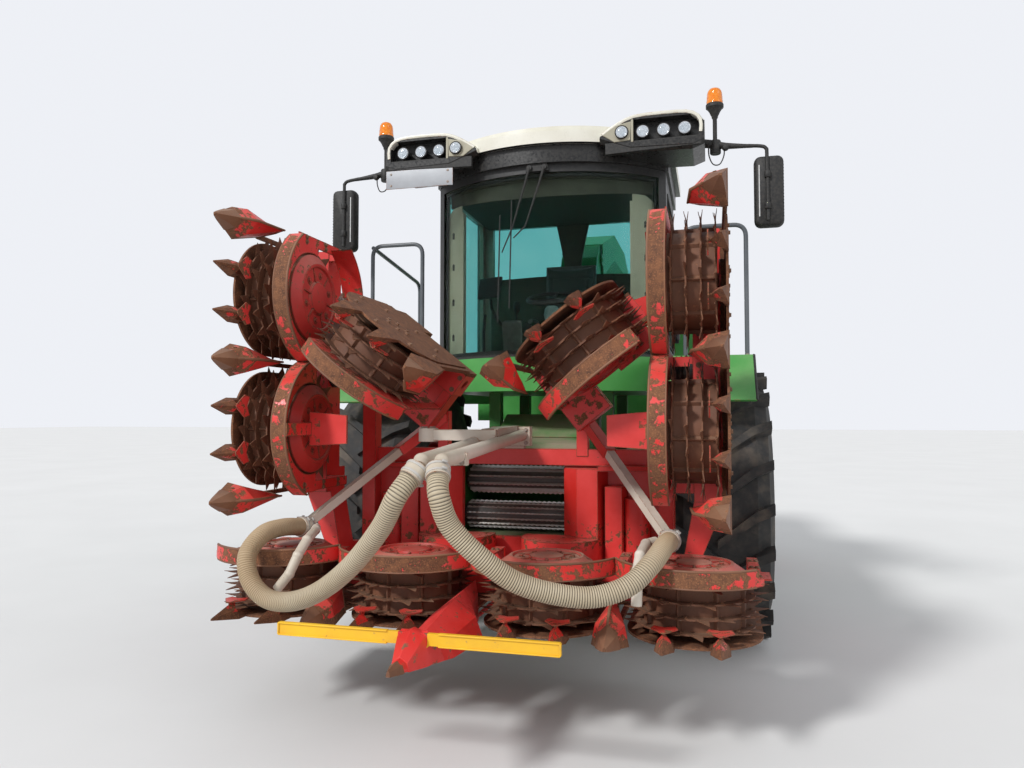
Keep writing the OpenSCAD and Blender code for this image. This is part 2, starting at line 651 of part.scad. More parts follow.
// Louvred side panel that swings up on two hinges along its top edge
module side_panel(side) color(green) on_side(side) {
  difference() {
    box([hood_half - hood_wall, panel_y0 + free_gap, panel_z0 + free_gap],
      [hood_half, panel_y1 - free_gap, panel_z1 - free_gap]);
    for (k = [0:5]) box([hood_half - hood_wall - 1, panel_y0 + 120, panel_z0 + 110 + k * 60],
      [hood_half + 1, panel_y1 - 120, panel_z0 + 140 + k * 60]);
  }
  for (y = panel_hinge_y) difference() {
    union() {
      translate([panel_axis.x, y - 25 + seat_gap, panel_axis.y]) rotate([-90, 0, 0])
        cylinder(r = 14, h = 50 - seat_gap);
      box([hood_half - 1, y - 20, panel_axis.y - 50], [panel_axis.x + 8, y + 20, panel_axis.y]);
    }
    translate([panel_axis.x, y - 30, panel_axis.y]) rotate([-90, 0, 0])
      cylinder(r = panel_pin_r + fit, h = 60);
    box([hood_half - 40, y - 60, panel_axis.y - 14], [hood_half + 5, y + 60, panel_axis.y + 40]);
  }
}

module grilles() color(dark) translate([0, hood_rear - hood_wall, 0]) difference() {
  box([-800 + seat_gap, 0, hood_z0 + 160 + seat_gap],
    [800 - seat_gap, hood_wall, hood_z1 - 380 - seat_gap]);
  for (k = [0:9]) box([-740, -1, hood_z0 + 200 + k * 72], [740, hood_wall + 1, hood_z0 + 245 + k * 72]);
}

deck_z = sill_z - 14;
deck_t = 16;
fender_rear = front_axle_y + front_tyre_d / 2 + 7;
fender_out = front_track_half + front_tyre_w / 2 - 115;

// Wheel covers whose flat tops are the decks beside the cab
module fenders() color(green) for (side = [-1, 1]) on_side(side)
  along_x(tub_half, fender_out) polygon([
    [front_axle_y - 900, 1700], [front_axle_y - 560, deck_z - deck_t],
    [fender_rear - 12, deck_z - deck_t], [fender_rear - 12, 1720], [fender_rear, 1720],
    [fender_rear, deck_z], [front_axle_y - 566, deck_z], [front_axle_y - 912, 1710]]);

rail_x = [1035, 1470];
rail_y = pillar_y - 50;
rail_top_z = 3000;
ladder_y0 = fender_rear + 45;
ladder_x = [tub_half + 330, fender_out - 20];

module platform() color(dark) {
  for (side = [-1, 1]) on_side(side) {
    rod([rail_x[0], rail_y, deck_z], [rail_x[0], rail_y, rail_top_z], 17);
    rod([rail_x[0] - 5, rail_y, rail_top_z - 10], [rail_x[1] + 5, rail_y, rail_top_z], 17);
    rod([rail_x[1], rail_y, rail_top_z - 5], [rail_x[1], rail_y, deck_z], 17);
  }
  on_side(-1) {
    rod([rail_x[1], rail_y, rail_top_z - 10], [rail_x[1], 400, rail_top_z - 140], 17);
    rod([rail_x[1], 390, rail_top_z - 140], [rail_x[1], 390, deck_z], 17);
  }
  box([ladder_x[0], fender_rear, deck_z - 30], [ladder_x[1], ladder_y0 + 170, deck_z]);
  for (k = [0:4]) box([ladder_x[0] + 10, ladder_y0, 540 + k * 290],
    [ladder_x[1] - 10, ladder_y0 + 170, 570 + k * 290]);
  for (x = [ladder_x[0], ladder_x[1] - 20]) box([x, ladder_y0, 480], [x + 20, ladder_y0 + 170, deck_z - 10]);
}

hitch_pin_r = 16;
hitch_y = rear_end - 55;

// Rear bumper with the towing jaw in its middle
module rear_bumper() color(dark) {
  box([-900, rail_rear, rail_z - 60], [900, rail_rear + 160, rail_top - 40]);
  for (side = [-1, 1]) on_side(side)
    box([100, rail_rear + 159, rail_z - 20], [700, rear_end, rail_top - 80]);
  difference() {
    for (z = [rail_z - 10, rail_z + 80]) box([-60, rail_rear + 159, z], [60, rear_end - 5, z + 30]);
    translate([0, hitch_y, rail_z - 60]) cylinder(r = hitch_pin_r, h = 220);
  }
}

// Everything that belongs to one row of rotors and lies under or behind them, wing or middle
module row(rotor_xs, x0, x1, depth) translate([0, tip_row_y, tip_z]) {
  for (x = rotor_xs) {
    translate([0, 0, -skid_drop]) linear_extrude(skid_t) {
      translate([x, rotor_back]) circle(r = tooth_r - 30);
      translate([x - tooth_r + 30, rotor_back]) square([2 * tooth_r - 60, beam_front - rotor_back + 40]);
    }
    translate([x, rotor_back, plate_top - 1]) cylinder(r = gearbox_r, h = gearbox_top - plate_top + 1);
    translate([x, rotor_back, 0]) cylinder(r = stub_r, h = stub_top);
    for (s = [-0.5, 0.5]) translate([x + s * tip_step, 0, 0]) {
      small_tip();
      arrow();
    }
  }
  difference() {
    box([x0, beam_front, plate_top], [x1, beam_front + depth, beam_top]);
    box([x0 + beam_wall, beam_front + beam_wall, plate_top + beam_wall],
      [x1 - beam_wall, beam_front + depth - beam_wall, beam_top - beam_wall]);
    translate([x0 - 1, beam_front + depth / 2, (plate_top + beam_top) / 2]) rotate([0, 90, 0])
      cylinder(r = beam_hole_r, h = x1 - x0 + 2);
  }
}

// Guide plate between the first and the second disc, held by a web on its tip
module arrow() {
  box([-5, 150, 10], [5, 196, arrow_h + 5]);
  translate([0, 0, arrow_h]) linear_extrude(6) polygon([[-8, 130], [8, 130], [62, 205], [50, 250],
    [0, 226], [-50, 250], [-62, 205]]);
}

// Outline of a row's hoods: a scalloped front half and a bar back to the beam at each cusp
module hood_plan(rotor_xs, x0, x1, rim_r) {
  intersection() {
    for (x = rotor_xs) translate([x, rotor_back]) circle(r = rim_r);
    translate([x0, 0]) square([x1 - x0, rotor_back + 60]);
  }
}

// Hoods over a row's rotors, from x0 to x1, with a raised rim along their front
module hoods(rotor_xs, x0, x1, cusps) translate([0, tip_row_y, tip_z]) {
  translate([0, 0, hood_plate_h]) linear_extrude(8) difference() {
    union() {
      hood_plan(rotor_xs, x0, x1, hood_rim_r);
      for (x = cusps) translate([x - cusp_w / 2, rotor_back - 150])
        square([cusp_w, beam_front - rotor_back + 200]);
    }
    for (x = rotor_xs) translate([x, rotor_back]) circle(r = drum_r + 12);
  }
  translate([0, 0, hood_plate_h]) linear_extrude(rim_h - hood_plate_h) difference() {
    hood_plan(rotor_xs, x0, x1, hood_rim_r);
    for (x = rotor_xs) translate([x, rotor_back]) circle(r = hood_rim_r - 8);
    translate([x0, rotor_back - 30]) square([x1 - x0, 100]);
  }
  for (x = cusps) box([x - cusp_w / 2, beam_front + 5, beam_top - 2],
    [x + cusp_w / 2, beam_front + 50, hood_plate_h + 4]);
}

// Section of a divider at y: its foot, its shoulders and its ridge
function section(y, foot_x, foot_z, shoulder_x, shoulder_z, ridge_z) = [[-foot_x, y, foot_z],
  [-shoulder_x, y, shoulder_z], [0, y, ridge_z], [shoulder_x, y, shoulder_z], [foot_x, y, foot_z]];

// Small pointed guard under the front of a rotor
module small_tip() loft([section(0, 4, -6, 3, 2, 5), section(172, 46, -skid_drop, 30, 12, 48),
  section(190, 46, -skid_drop, 30, -6, 6), section(330, 46, -skid_drop, 30, plate_top + 4, plate_top + 10)]);

divider_l = 430;

// Large divider between two rotors or at a section's end
module large_tip() loft([section(0, 5, -8, 4, 2, 6), section(200, 90, -skid_drop, 70, 60, 130),
  section(divider_l, 30, -skid_drop, 12, 90, 150)]);

module tip_at(x) translate([x, tip_row_y, tip_z]) large_tip();

// The divider's foot runs back to the beam between two rows of teeth
module tip_foot(x, y0 = divider_l - 30) translate([x, tip_row_y, tip_z])
  box([-12, y0, -skid_drop], [12, beam_front + 10, plate_top + 10]);

// Rotor: toothed discs on a hollow drum that turns on its stub shaft
module rotor_body() color(rust) {
  rotate_extrude() polygon([[stub_r + fit, drum_h0], [drum_r, drum_h0], [drum_r, dome_h - 40],
    [drum_r - 60, dome_h], [0, dome_h], [0, dome_h - 12], [drum_r - 66, dome_h - 12],
    [drum_r - 12, dome_h - 50], [drum_r - 12, drum_h0 + 12], [stub_r + 30, drum_h0 + 12],
    [stub_r + 30, stub_top - 12], [stub_r + fit, stub_top - 12]]);
  for (k = [0:discs - 1]) translate([0, 0, drum_h0 + 5 + k * disc_gap]) rotate([0, 0, k * 180 / teeth / 2])
    linear_extrude(disc_t) difference() {
      polygon([for (i = [0:teeth - 1], p = [[0, root_r], [0.62, tooth_r], [0.7, tooth_r], [0.78, root_r]])
        p[1] * [cos((i + p[0]) * 360 / teeth), sin((i + p[0]) * 360 / teeth)]]);
      circle(r = drum_r - 6);
    }
}

module rotor_at(x) translate([x, tip_row_y + rotor_back, tip_z]) rotor_body();

// Wing and outer unit, drawn lying in line with the middle and then folded up
module fold(x, h, angle) translate([x, 0, tip_z + h]) rotate([0, -angle, 0]) translate([-x, 0, -tip_z - h])
  children();

module on_wing(side) on_side(side) fold(wing_hinge_x, wing_hinge_h, 90) children();

module on_outer(side) on_wing(side) fold(outer_hinge_x, outer_hinge_h, outer_fold) children();

ear_gap = 5;
barrel_r = 42;
wing_arm_y0 = tip_row_y + beam_front + 55;
wing_arm_y1 = tip_row_y + beam_front + 245;

arrow_h = 52;
cusp_w = 56;
arm_join = [650, -2010, 1390];
arm_top = [450, -1745, 1610];

// The middle row's rims are lower and then end where the wings' dividers swing past them
rim_low_x = 1425;
rim_low_h = 288;
rim_end_x = 1448;
end_cusp_x = 1422;

module header_frame() color(red) {
  difference() {
    hoods([for (k = [-1.5:1:1.5]) k * rotor_pitch], -1490, 1490,
      [-end_cusp_x, -rotor_pitch, 0, rotor_pitch, end_cusp_x]);
    for (side = [-1, 1]) on_side(side) translate([0, tip_row_y, tip_z]) {
      box([rim_low_x, 0, rim_low_h], [1500, beam_front, rim_h + 1]);
      box([rim_end_x, 0, hood_plate_h - 1], [1500, divider_l + 8, rim_h + 1]);
    }
  }
  row([for (k = [-1.5:1:1.5]) k * rotor_pitch], -1000, 1000, centre_depth);
  for (s = [-1, 1]) {
    tip_at(s * rotor_pitch);
    tip_foot(s * rotor_pitch);
  }
  translate([0, tip_row_y, tip_z]) {
    difference() {
      box([-1000, 1290, beam_top - 10], [1000, 1320, 830]);
      box([-intake_half, 1280, 277], [intake_half, 1330, 727]);
    }
    box([-1000, beam_front + centre_depth - 20, plate_top], [1000, 1320, beam_top]);
    box([-1000, 1240, 730], [1000, 1291, 830]);
    for (s = [-1, 1]) {
      box([s * 950 - 45, 1200, beam_top - 10], [s * 950 + 45, 1292, 1180]);
      difference() {
        translate([s * 330, 1170, plate_top]) cylinder(r = 240, h = 330);
        translate([s * 330, 1170, plate_top - 1]) cylinder(r = 228, h = 320);
        box([-1000, 1240, plate_top - 2], [1000, 1500, 500]);
        box([-1000, 900, plate_top - 2], [1000, 1250, beam_top - 4]);
        box([-s * 50 - 100, 800, beam_top - 10], [-s * 50 + 100, 1300, 400]);
      }
    }
  }
  for (side = [-1, 1]) on_side(side) {
    header_hinge();
    intake_cheek();
    bar(arm_top, arm_join, 64, 64);
    box([415, -1766, 1360], [485, -1700, 1640]);
  }
}

// Folded plates that lead the crop to one side of the intake, and a round column outside them
module intake_cheek() translate([0, tip_row_y, tip_z]) {
  translate([0, 0, beam_top - 5]) linear_extrude(575) polygon([[intake_half, 1292], [intake_half, 1272],
    [430, 1150], [560, 1120], [600, 1292]]);
  translate([0, 0, beam_top - 5]) linear_extrude(470)
    polygon([[595, 1292], [595, 1175], [700, 1150], [720, 1292]]);
  translate([780, 1230, beam_top - 5]) cylinder(r = 75, h = 400);
  translate([0, 0, 705]) linear_extrude(30) polygon([[600, 1292], [560, 1120], [900, 1200], [905, 1292]]);
}

// Hinge eyes and pin that carry a wing
module header_hinge() {
  z = tip_z + wing_hinge_h;
  for (y = [wing_arm_y0 - ear_gap - 50, wing_arm_y1 + ear_gap]) along_y(y, y + 50) {
    translate([wing_hinge_x, z]) circle(r = barrel_r);
    polygon([[980, tip_z + plate_top], [wing_hinge_x, tip_z + 60], [wing_hinge_x + 30, z - 30],
      [wing_hinge_x - 10, z + barrel_r], [980, z + barrel_r]]);
  }
  translate([wing_hinge_x, wing_arm_y0 - 55, z]) rotate([-90, 0, 0]) cylinder(r = hinge_r, h = 300);
}

// Outer end of the wing's hoods, clear of the outer rotor while it folds
wing_hood_end = 4 * rotor_pitch - 50;

module wing(side) color(red) on_wing(side) {
  row([2.5 * rotor_pitch, 3.5 * rotor_pitch], 2 * rotor_pitch - 30, 4 * rotor_pitch - 10, wing_depth);
  for (k = [2, 3, 4]) tip_foot(k * rotor_pitch - (k == 4 ? 24 : 0), divider_l + seat_gap);
  wing_arm();
  outer_hinge_ears();
  hoods([2.5 * rotor_pitch, 3.5 * rotor_pitch], 2 * rotor_pitch + 10, wing_hood_end,
    [2 * rotor_pitch + 45, 3 * rotor_pitch, 4 * rotor_pitch - 45]);
  translate([0, tip_row_y, tip_z]) {
    intersection() {
      translate([3.5 * rotor_pitch, rotor_back, hood_plate_h]) difference() {
        cylinder(r = hood_rim_r, h = rim_h + 60 - hood_plate_h);
        translate([0, 0, -1]) cylinder(r = hood_rim_r - 8, h = 200);
      }
      box([3.5 * rotor_pitch + 60, rotor_back - 60, hood_plate_h],
        [wing_hood_end, beam_front + 20, 500]);
    }
    translate([2.5 * rotor_pitch, 0, 0]) guide_blade();
  }
}

// Large dividers, each seated against the front end of its foot
module wing_dividers(side) color(red) on_wing(side) for (k = [2, 3, 4]) tip_at(k * rotor_pitch);

// Blade over the dome of the inner wing rotor, on an arm from the hood's rim
module guide_blade() {
  box([-35, 152, rim_h - 20], [35, 420, rim_h + 12]);
  translate([0, 420, 0]) rotate([90, 0, 0]) linear_extrude(12) polygon([[-95, rim_h], [95, rim_h],
    [75, rim_h + 225], [-80, rim_h + 225]]);
}

// Arm from the wing's beam down to the hinge
module wing_arm() {
  z = tip_z + wing_hinge_h;
  difference() {
    along_y(wing_arm_y0, wing_arm_y1) {
      translate([wing_hinge_x, z]) circle(r = barrel_r);
      polygon([[wing_hinge_x, z - barrel_r], [2 * rotor_pitch - 20, tip_z + plate_top],
        [2 * rotor_pitch + 120, tip_z + plate_top], [2 * rotor_pitch + 120, tip_z + beam_top],
        [2 * rotor_pitch - 20, tip_z + beam_top], [wing_hinge_x, z + barrel_r]]);
    }
    translate([wing_hinge_x, wing_arm_y0 - 1, z]) rotate([-90, 0, 0])
      cylinder(r = hinge_r + fit, h = wing_arm_y1 - wing_arm_y0 + 2);
    box([2 * rotor_pitch - 29, wing_arm_y0 - 1, tip_z + plate_top + beam_wall],
      [2 * rotor_pitch + 140, tip_row_y + beam_front + wing_depth - beam_wall, tip_z + beam_top - beam_wall]);
  }
}

outer_ear_y0 = tip_row_y + beam_front + wing_depth;
outer_arm_y0 = outer_ear_y0 + 50 + ear_gap;
outer_arm_y1 = outer_arm_y0 + 110;

// Ears and pin on the wing's back that carry the outer unit
module outer_hinge_ears() {
  z = tip_z + outer_hinge_h;
  box([outer_hinge_x - 200, outer_ear_y0 - 1, tip_z + plate_top],
    [outer_hinge_x - 120, outer_arm_y1 + 50 + ear_gap, tip_z + beam_top]);
  for (y = [outer_ear_y0, outer_arm_y1 + ear_gap]) along_y(y, y + 50) {
    translate([outer_hinge_x, z]) circle(r = barrel_r);
    polygon([[outer_hinge_x - 200, tip_z + plate_top], [outer_hinge_x, z - barrel_r],
      [outer_hinge_x, z + barrel_r], [outer_hinge_x - 200, tip_z + beam_top]]);
  }
  translate([outer_hinge_x, outer_ear_y0, z]) rotate([-90, 0, 0])
    cylinder(r = hinge_r, h = outer_arm_y1 + 50 + ear_gap - outer_ear_y0);
}

module outer(side) color(red) on_outer(side) {
  z = tip_z + outer_hinge_h;
  row([4.5 * rotor_pitch], 4 * rotor_pitch + 20, 5 * rotor_pitch, wing_depth);
  tip_at(5 * rotor_pitch);
  tip_foot(5 * rotor_pitch - 12);
  hoods([4.5 * rotor_pitch], 4 * rotor_pitch + 130, 5 * rotor_pitch - 5,
    [4 * rotor_pitch + 160, 5 * rotor_pitch - 40]);
  translate([0, tip_row_y, tip_z]) {
    box([5 * rotor_pitch - 250, beam_front + 20, beam_top - 4], [5 * rotor_pitch - 8, beam_front + 150, 420]);
    box([4 * rotor_pitch + 60, beam_front + 10, beam_top - 4], [4 * rotor_pitch + 330, beam_front + 40, 300]);
  }
  difference() {
    along_y(outer_arm_y0, outer_arm_y1) {
      translate([outer_hinge_x, z]) circle(r = barrel_r);
      polygon([[outer_hinge_x, z - barrel_r], [4 * rotor_pitch + 60, tip_z + plate_top],
        [4 * rotor_pitch + 300, tip_z + plate_top], [4 * rotor_pitch + 300, tip_z + beam_top],
        [4 * rotor_pitch + 60, tip_z + beam_top], [outer_hinge_x, z + barrel_r]]);
    }
    translate([outer_hinge_x, outer_arm_y0 - 1, z]) rotate([-90, 0, 0])
      cylinder(r = hinge_r + fit, h = outer_arm_y1 - outer_arm_y0 + 2);
  }
  box([4 * rotor_pitch + 60, outer_ear_y0 - 1, tip_z + plate_top],
    [4 * rotor_pitch + 300, outer_arm_y0 + 1, tip_z + beam_top]);
}

nose_z = 610;
board_y = -3365;

// Faceted middle divider with the warning board across its nose
module middle_divider() {
  color(red) loft([section(nose_y, 8, nose_z - 12, 5, nose_z + 4, nose_z + 12),
    section(tip_row_y - 200, 120, nose_z - 60, 90, nose_z + 10, nose_z + 60),
    section(tip_row_y + 150, 150, tip_z - skid_drop, 110, nose_z + 30, nose_z + 110),
    section(tip_row_y + 300, 55, tip_z - skid_drop, 42, nose_z + 45, nose_z + 122),
    section(tip_row_y + 500, 18, tip_z - skid_drop, 12, nose_z + 60, nose_z + 130)]);
  color(red) box([-60, board_y, nose_z - 10], [60, board_y + 12, nose_z + 95]);
  color(red) box([-10, tip_row_y + 499, tip_z - skid_drop],
    [10, tip_row_y + beam_front - seat_gap, tip_z + plate_top]);
  color("yellow") box([-630, board_y - 20, nose_z + 40], [630, board_y, nose_z + 90]);
}

push_front = [0, -3200, 1330];
push_rear = [0, -1740, 1480];
clamp = [1010, -2500, 990];
gland_r = hose_d / 2 + 6;

// Routes of the two hoses, from the beam's front end to the clamps
route_right = [[-66, -3265, 1330], [-110, -3315, 1250], [-200, -3270, 1110], [-370, -3200, 930],
  [-560, -3130, 790], [-740, -3080, 715], [-900, -3045, 710], [-1020, -3010, 785],
  [-1075, -2955, 900], [-1060, -2840, 988], [-1030, -2700, 1005], [-1010, -2560, 990]];
route_left = [[66, -3265, 1330], [90, -3315, 1260], [130, -3280, 1130], [250, -3240, 1000],
  [390, -3180, 890], [560, -3110, 830], [720, -3050, 815], [860, -2995, 860],
  [950, -2910, 940], [1000, -2760, 998], [1010, -2560, 990]];

// Point at u on a smooth curve through p1 and p2
function curve(p0, p1, p2, p3, u) = 0.5 * ((2 * p1) + (p2 - p0) * u
  + (2 * p0 - 5 * p1 + 4 * p2 - p3) * u * u + (3 * p1 - p0 - 3 * p2 + p3) * u * u * u);
function at(route, i) = route[max(0, min(len(route) - 1, i))];
function smooth(route, n) = [for (i = [0:len(route) - 2], k = [0:n - 1])
  curve(at(route, i - 1), at(route, i), at(route, i + 1), at(route, i + 2), k / n), route[len(route) - 1]];
function unit(v) = v / norm(v);

// Direction of a route at its start and at its end
function start_way(line) = unit(line[1] - line[0]);
function end_way(line) = unit(line[len(line) - 1] - line[len(line) - 2]);

module hose(route) {
  line = smooth(route, 3);
  last = len(line) - 1;
  loft([for (i = [0:last]) let (t = unit(line[min(last, i + 1)] - line[max(0, i - 1)]),
      a = unit(cross(t, [0, 1, 0.2])), b = cross(t, a))
    [for (k = [0:9]) line[i] + hose_d / 2 * (a * cos(36 * k) - b * sin(36 * k))]]);
}

module glands(route) {
  line = smooth(route, 3);
  first = line[0];
  end = line[len(line) - 1];
  rod(first - 70 * start_way(line), first - seat_gap * start_way(line), gland_r);
  rod(end + seat_gap * end_way(line), end + 70 * end_way(line), gland_r);
}

// Bent tube through points, with a weld bead round each elbow
module pipe(points, r) for (i = [0:len(points) - 2]) {
  rod(points[i], points[i + 1], r);
  if (i > 0) translate(points[i]) sphere(r = r + weld_bead);
}

weld_bead = 2;

// Open-ended stub below a clamp
module stub(points) difference() {
  pipe(points, stub_tube_r);
  last = points[len(points) - 1];
  way = unit(last - points[len(points) - 2]);
  rod(last - 60 * way, last + 5 * way, stub_tube_r - 5);
}

stub_tube_r = 25;
stub_right = [[-940, -2500, 978], [-900, -2580, 978], [-850, -2760, 955], [-850, -2850, 890],
  [-880, -2880, 800], [-944, -2890, 720]];
stub_left = [[940, -2500, 978], [900, -2570, 975], [890, -2770, 955], [885, -2840, 900], [880, -2860, 740]];

module push_frame() color(cream) {
  for (route = [route_left, route_right]) let (line = smooth(route, 3), top = line[0] - 70 * start_way(line))
    pipe([top, [top.x * 1.1, push_front.y + 20, push_front.z + 75],
      [sign(top.x) * 75, push_rear.y, push_rear.z + 10]], 34);
  box([-125, push_rear.y - 40, push_rear.z - 60], [125, push_rear.y + 25, push_rear.z + 60]);
  box([-85, push_rear.y - 25, tip_z + 830], [85, push_rear.y + 25, push_rear.z - 40]);
  box([-100, -2960, 1372], [100, -2930, 1432]);
  bar([20, -2300, 1505], [0, push_rear.y, 1515], 90, 60);
  bar([60, -2300, 1500], [-330, -2330, 1500], 76, 60);
  translate([-335, -2330, 1462]) cylinder(r = 55, h = 76);
  box([-60, -2340, 1420], [60, -2270, 1500]);
  for (side = [-1, 1]) on_side(side) {
    let (way = unit(clamp - arm_join)) bar(arm_join + seat_gap * way, clamp, 47, 47);
    translate(clamp) translate([-45, -45, -40]) cube([90, 90, 80]);
  }
  stub(stub_left);
  stub(stub_right);
  glands(route_left);
  glands(route_right);
}

module hose_left() color("tan") hose(route_left);
module hose_right() color("tan") hose(route_right);

feeder_front = tip_row_y + 1320;

module feeder() color(green) difference() {
  union() {
    along_x(-feeder_half, feeder_half) {
      polygon([[feeder_front, tip_z + 240], [lift_y, lift_z - feeder_r], [lift_y, lift_z + feeder_r],
        [feeder_front + 300, tip_z + 850], [feeder_front, tip_z + 790]]);
      translate([lift_y, lift_z]) circle(r = feeder_r);
    }
    translate([-rail_out, lift_y, lift_z]) rotate([0, 90, 0]) cylinder(r = trunnion_r, h = 2 * rail_out);
  }
  along_x(-feeder_half + 12, feeder_half - 12) polygon([[feeder_front - 1, tip_z + 277],
    [lift_y, lift_z - feeder_r + 30], [lift_y + 80, lift_z], [lift_y, lift_z + feeder_r - 30],
    [feeder_front + 300, tip_z + 820], [feeder_front - 1, tip_z + 727]]);
  for (p = [roll_up, roll_low]) translate([-feeder_half - 1, p.x, p.y]) rotate([0, 90, 0])
    cylinder(r = 30 + fit, h = 2 * feeder_half + 2);
}

roll_up = [feeder_front + 190, 1190];
roll_low = [feeder_front + 150, 962];

module feed_roll(p, ribs, rib_h) color("silver") translate([-feeder_half, p.x, p.y]) rotate([0, 90, 0]) {
  cylinder(r = 30, h = 2 * feeder_half);
  translate([0, 0, 25]) cylinder(r = roll_r - rib_h, h = 2 * feeder_half - 50);
  for (k = [0:ribs - 1]) rotate([0, 0, (k + 0.4) * 360 / ribs])
    translate([roll_r - rib_h - 10, -6, 40]) cube([rib_h + 10, 12, 2 * feeder_half - 80]);
}

chassis();
front_axle();
rear_axle();
engine();
crop_duct();
cab_shell();
cab_glass();
cab_roof();
cab_interior();
lamps();
beacons();
mirrors();
wipers();
hood();
grilles();
fenders();
platform();
rear_bumper();
side_panel(1);  // side_panel_left
side_panel(-1);  // side_panel_right
door_left();
door_glass();
spout_turret();
spout_boom();
spout_flap();
front_tyre(1);  // front_tyre_left
front_rim(1);  // front_rim_left
front_tyre(-1);  // front_tyre_right
front_rim(-1);  // front_rim_right
knuckle(1);  // knuckle_left
knuckle(-1);  // knuckle_right
rear_tyre(1);  // rear_tyre_left
rear_rim(1);  // rear_rim_left
rear_tyre(-1);  // rear_tyre_right
rear_rim(-1);  // rear_rim_right
feeder();
feed_roll(roll_up, 10, 26);  // feed_roll_upper
feed_roll(roll_low, 14, 12);  // feed_roll_lower
header_frame();
middle_divider();
push_frame();
hose_left();
hose_right();
wing(1);  // wing_left
wing(-1);  // wing_right
wing_dividers(1);  // wing_dividers_left
wing_dividers(-1);  // wing_dividers_right
outer(1);  // outer_left
outer(-1);  // outer_right
on_outer(-1) rotor_at(4.5 * rotor_pitch);  // rotor_1
on_wing(-1) rotor_at(3.5 * rotor_pitch);  // rotor_2
on_wing(-1) rotor_at(2.5 * rotor_pitch);  // rotor_3
rotor_at(-1.5 * rotor_pitch);  // rotor_4
rotor_at(-0.5 * rotor_pitch);  // rotor_5
rotor_at(0.5 * rotor_pitch);  // rotor_6
rotor_at(1.5 * rotor_pitch);  // rotor_7
on_wing(1) rotor_at(2.5 * rotor_pitch);  // rotor_8
on_wing(1) rotor_at(3.5 * rotor_pitch);  // rotor_9
on_outer(1) rotor_at(4.5 * rotor_pitch);  // rotor_10
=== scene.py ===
import math
import random

import bmesh
import bpy
from mathutils import Matrix, Vector


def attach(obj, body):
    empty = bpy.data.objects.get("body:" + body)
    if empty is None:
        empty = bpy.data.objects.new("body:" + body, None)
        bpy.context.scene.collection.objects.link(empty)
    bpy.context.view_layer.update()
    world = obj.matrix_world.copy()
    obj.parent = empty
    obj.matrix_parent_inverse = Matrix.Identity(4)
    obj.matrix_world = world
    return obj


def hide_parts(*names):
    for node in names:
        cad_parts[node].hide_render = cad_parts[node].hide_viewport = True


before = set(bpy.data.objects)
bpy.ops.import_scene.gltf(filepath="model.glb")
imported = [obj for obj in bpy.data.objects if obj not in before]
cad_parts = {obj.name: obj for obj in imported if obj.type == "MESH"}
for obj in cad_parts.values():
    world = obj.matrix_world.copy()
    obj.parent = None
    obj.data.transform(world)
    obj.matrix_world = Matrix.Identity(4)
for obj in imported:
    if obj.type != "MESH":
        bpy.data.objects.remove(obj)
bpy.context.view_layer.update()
chance = random.Random(11)


# Camera: a person's eye height, a little to the driver's left of the header and close to it, with
# a wide phone lens that looks slightly up and towards the driver's right.
def in_scene(name, data):
    """A new object of that data, in the scene."""
    thing = bpy.data.objects.new(name, data)
    bpy.context.scene.collection.objects.link(thing)
    return thing


yaw, pitch = math.radians(14.7), math.radians(2.38)
view = bpy.data.cameras.new("view")
view.sensor_width = 36
view.lens = 27.0
view.clip_end = 300
camera = in_scene("view", view)
camera.location = (1.23, -6.43, 1.607)
camera.rotation_euler = (math.pi / 2 + pitch, 0, yaw)
bpy.context.scene.camera = camera
bpy.context.scene.view_settings.view_transform = "Standard"


# Light: a wide soft key light from behind the viewer's left, a weak one from the other side and an
# even pale surround that glass and bright metal show too.
class Value:
    """A number, colour or mesh that comes out of a node; numbers can be summed and compared."""

    def __init__(self, socket):
        self.socket, self.tree = socket, socket.id_data

    def sum(self, how, *others):
        return made(self.tree, "ShaderNodeMath", dict(enumerate((self, *others))), operation=how)

    def __add__(self, other):
        return self.sum("ADD", other)

    def __sub__(self, other):
        return self.sum("SUBTRACT", other)

    def __mul__(self, other):
        return self.sum("MULTIPLY", other)

    def __lt__(self, other):
        return self.sum("LESS_THAN", other)

    def __gt__(self, other):
        return self.sum("GREATER_THAN", other)

    def __abs__(self):
        return self.sum("ABSOLUTE")


def feed(node, inputs):
    """Joins values to a node's inputs, or sets them."""
    for key, value in inputs.items():
        socket = node.inputs[key]
        if isinstance(value, Value):
            value.tree.links.new(value.socket, socket)
        else:
            socket.default_value = (*value, 1) if socket.type == "RGBA" else value


def made(tree, kind, inputs=None, out=0, **settings):
    """What comes out of a new node with those inputs and settings."""
    node = tree.nodes.new(kind)
    for key, value in settings.items():
        setattr(node, key, value)
    feed(node, inputs or {})
    return Value(node.outputs[out])


def between(value, low, high, to_low=0.0, to_high=1.0):
    """value, stretched from low..high to to_low..to_high."""
    return made(value.tree, "ShaderNodeMapRange", {"Value": value, "From Min": low, "From Max": high,
                                                   "To Min": to_low, "To Max": to_high})


world = bpy.data.worlds.new("studio")
bpy.context.scene.world = world
world.use_nodes = True
rays = world.node_tree.nodes.new("ShaderNodeLightPath")
seen = Value(rays.outputs["Is Camera Ray"]).sum("MAXIMUM", Value(rays.outputs["Is Transmission Ray"]))
feed(world.node_tree.nodes["Background"],
     {"Color": (0.93, 0.95, 1.0), "Strength": between(seen, 0, 1, 0.72, 0.92)})
for name, power, angle, turn in (("key", 2.6, 9, (52, 0, -32)), ("side", 0.5, 40, (60, 0, 65))):
    lamp = bpy.data.lights.new(name, "SUN")
    lamp.energy = power
    lamp.angle = math.radians(angle)
    in_scene(name, lamp).rotation_euler = [math.radians(a) for a in turn]


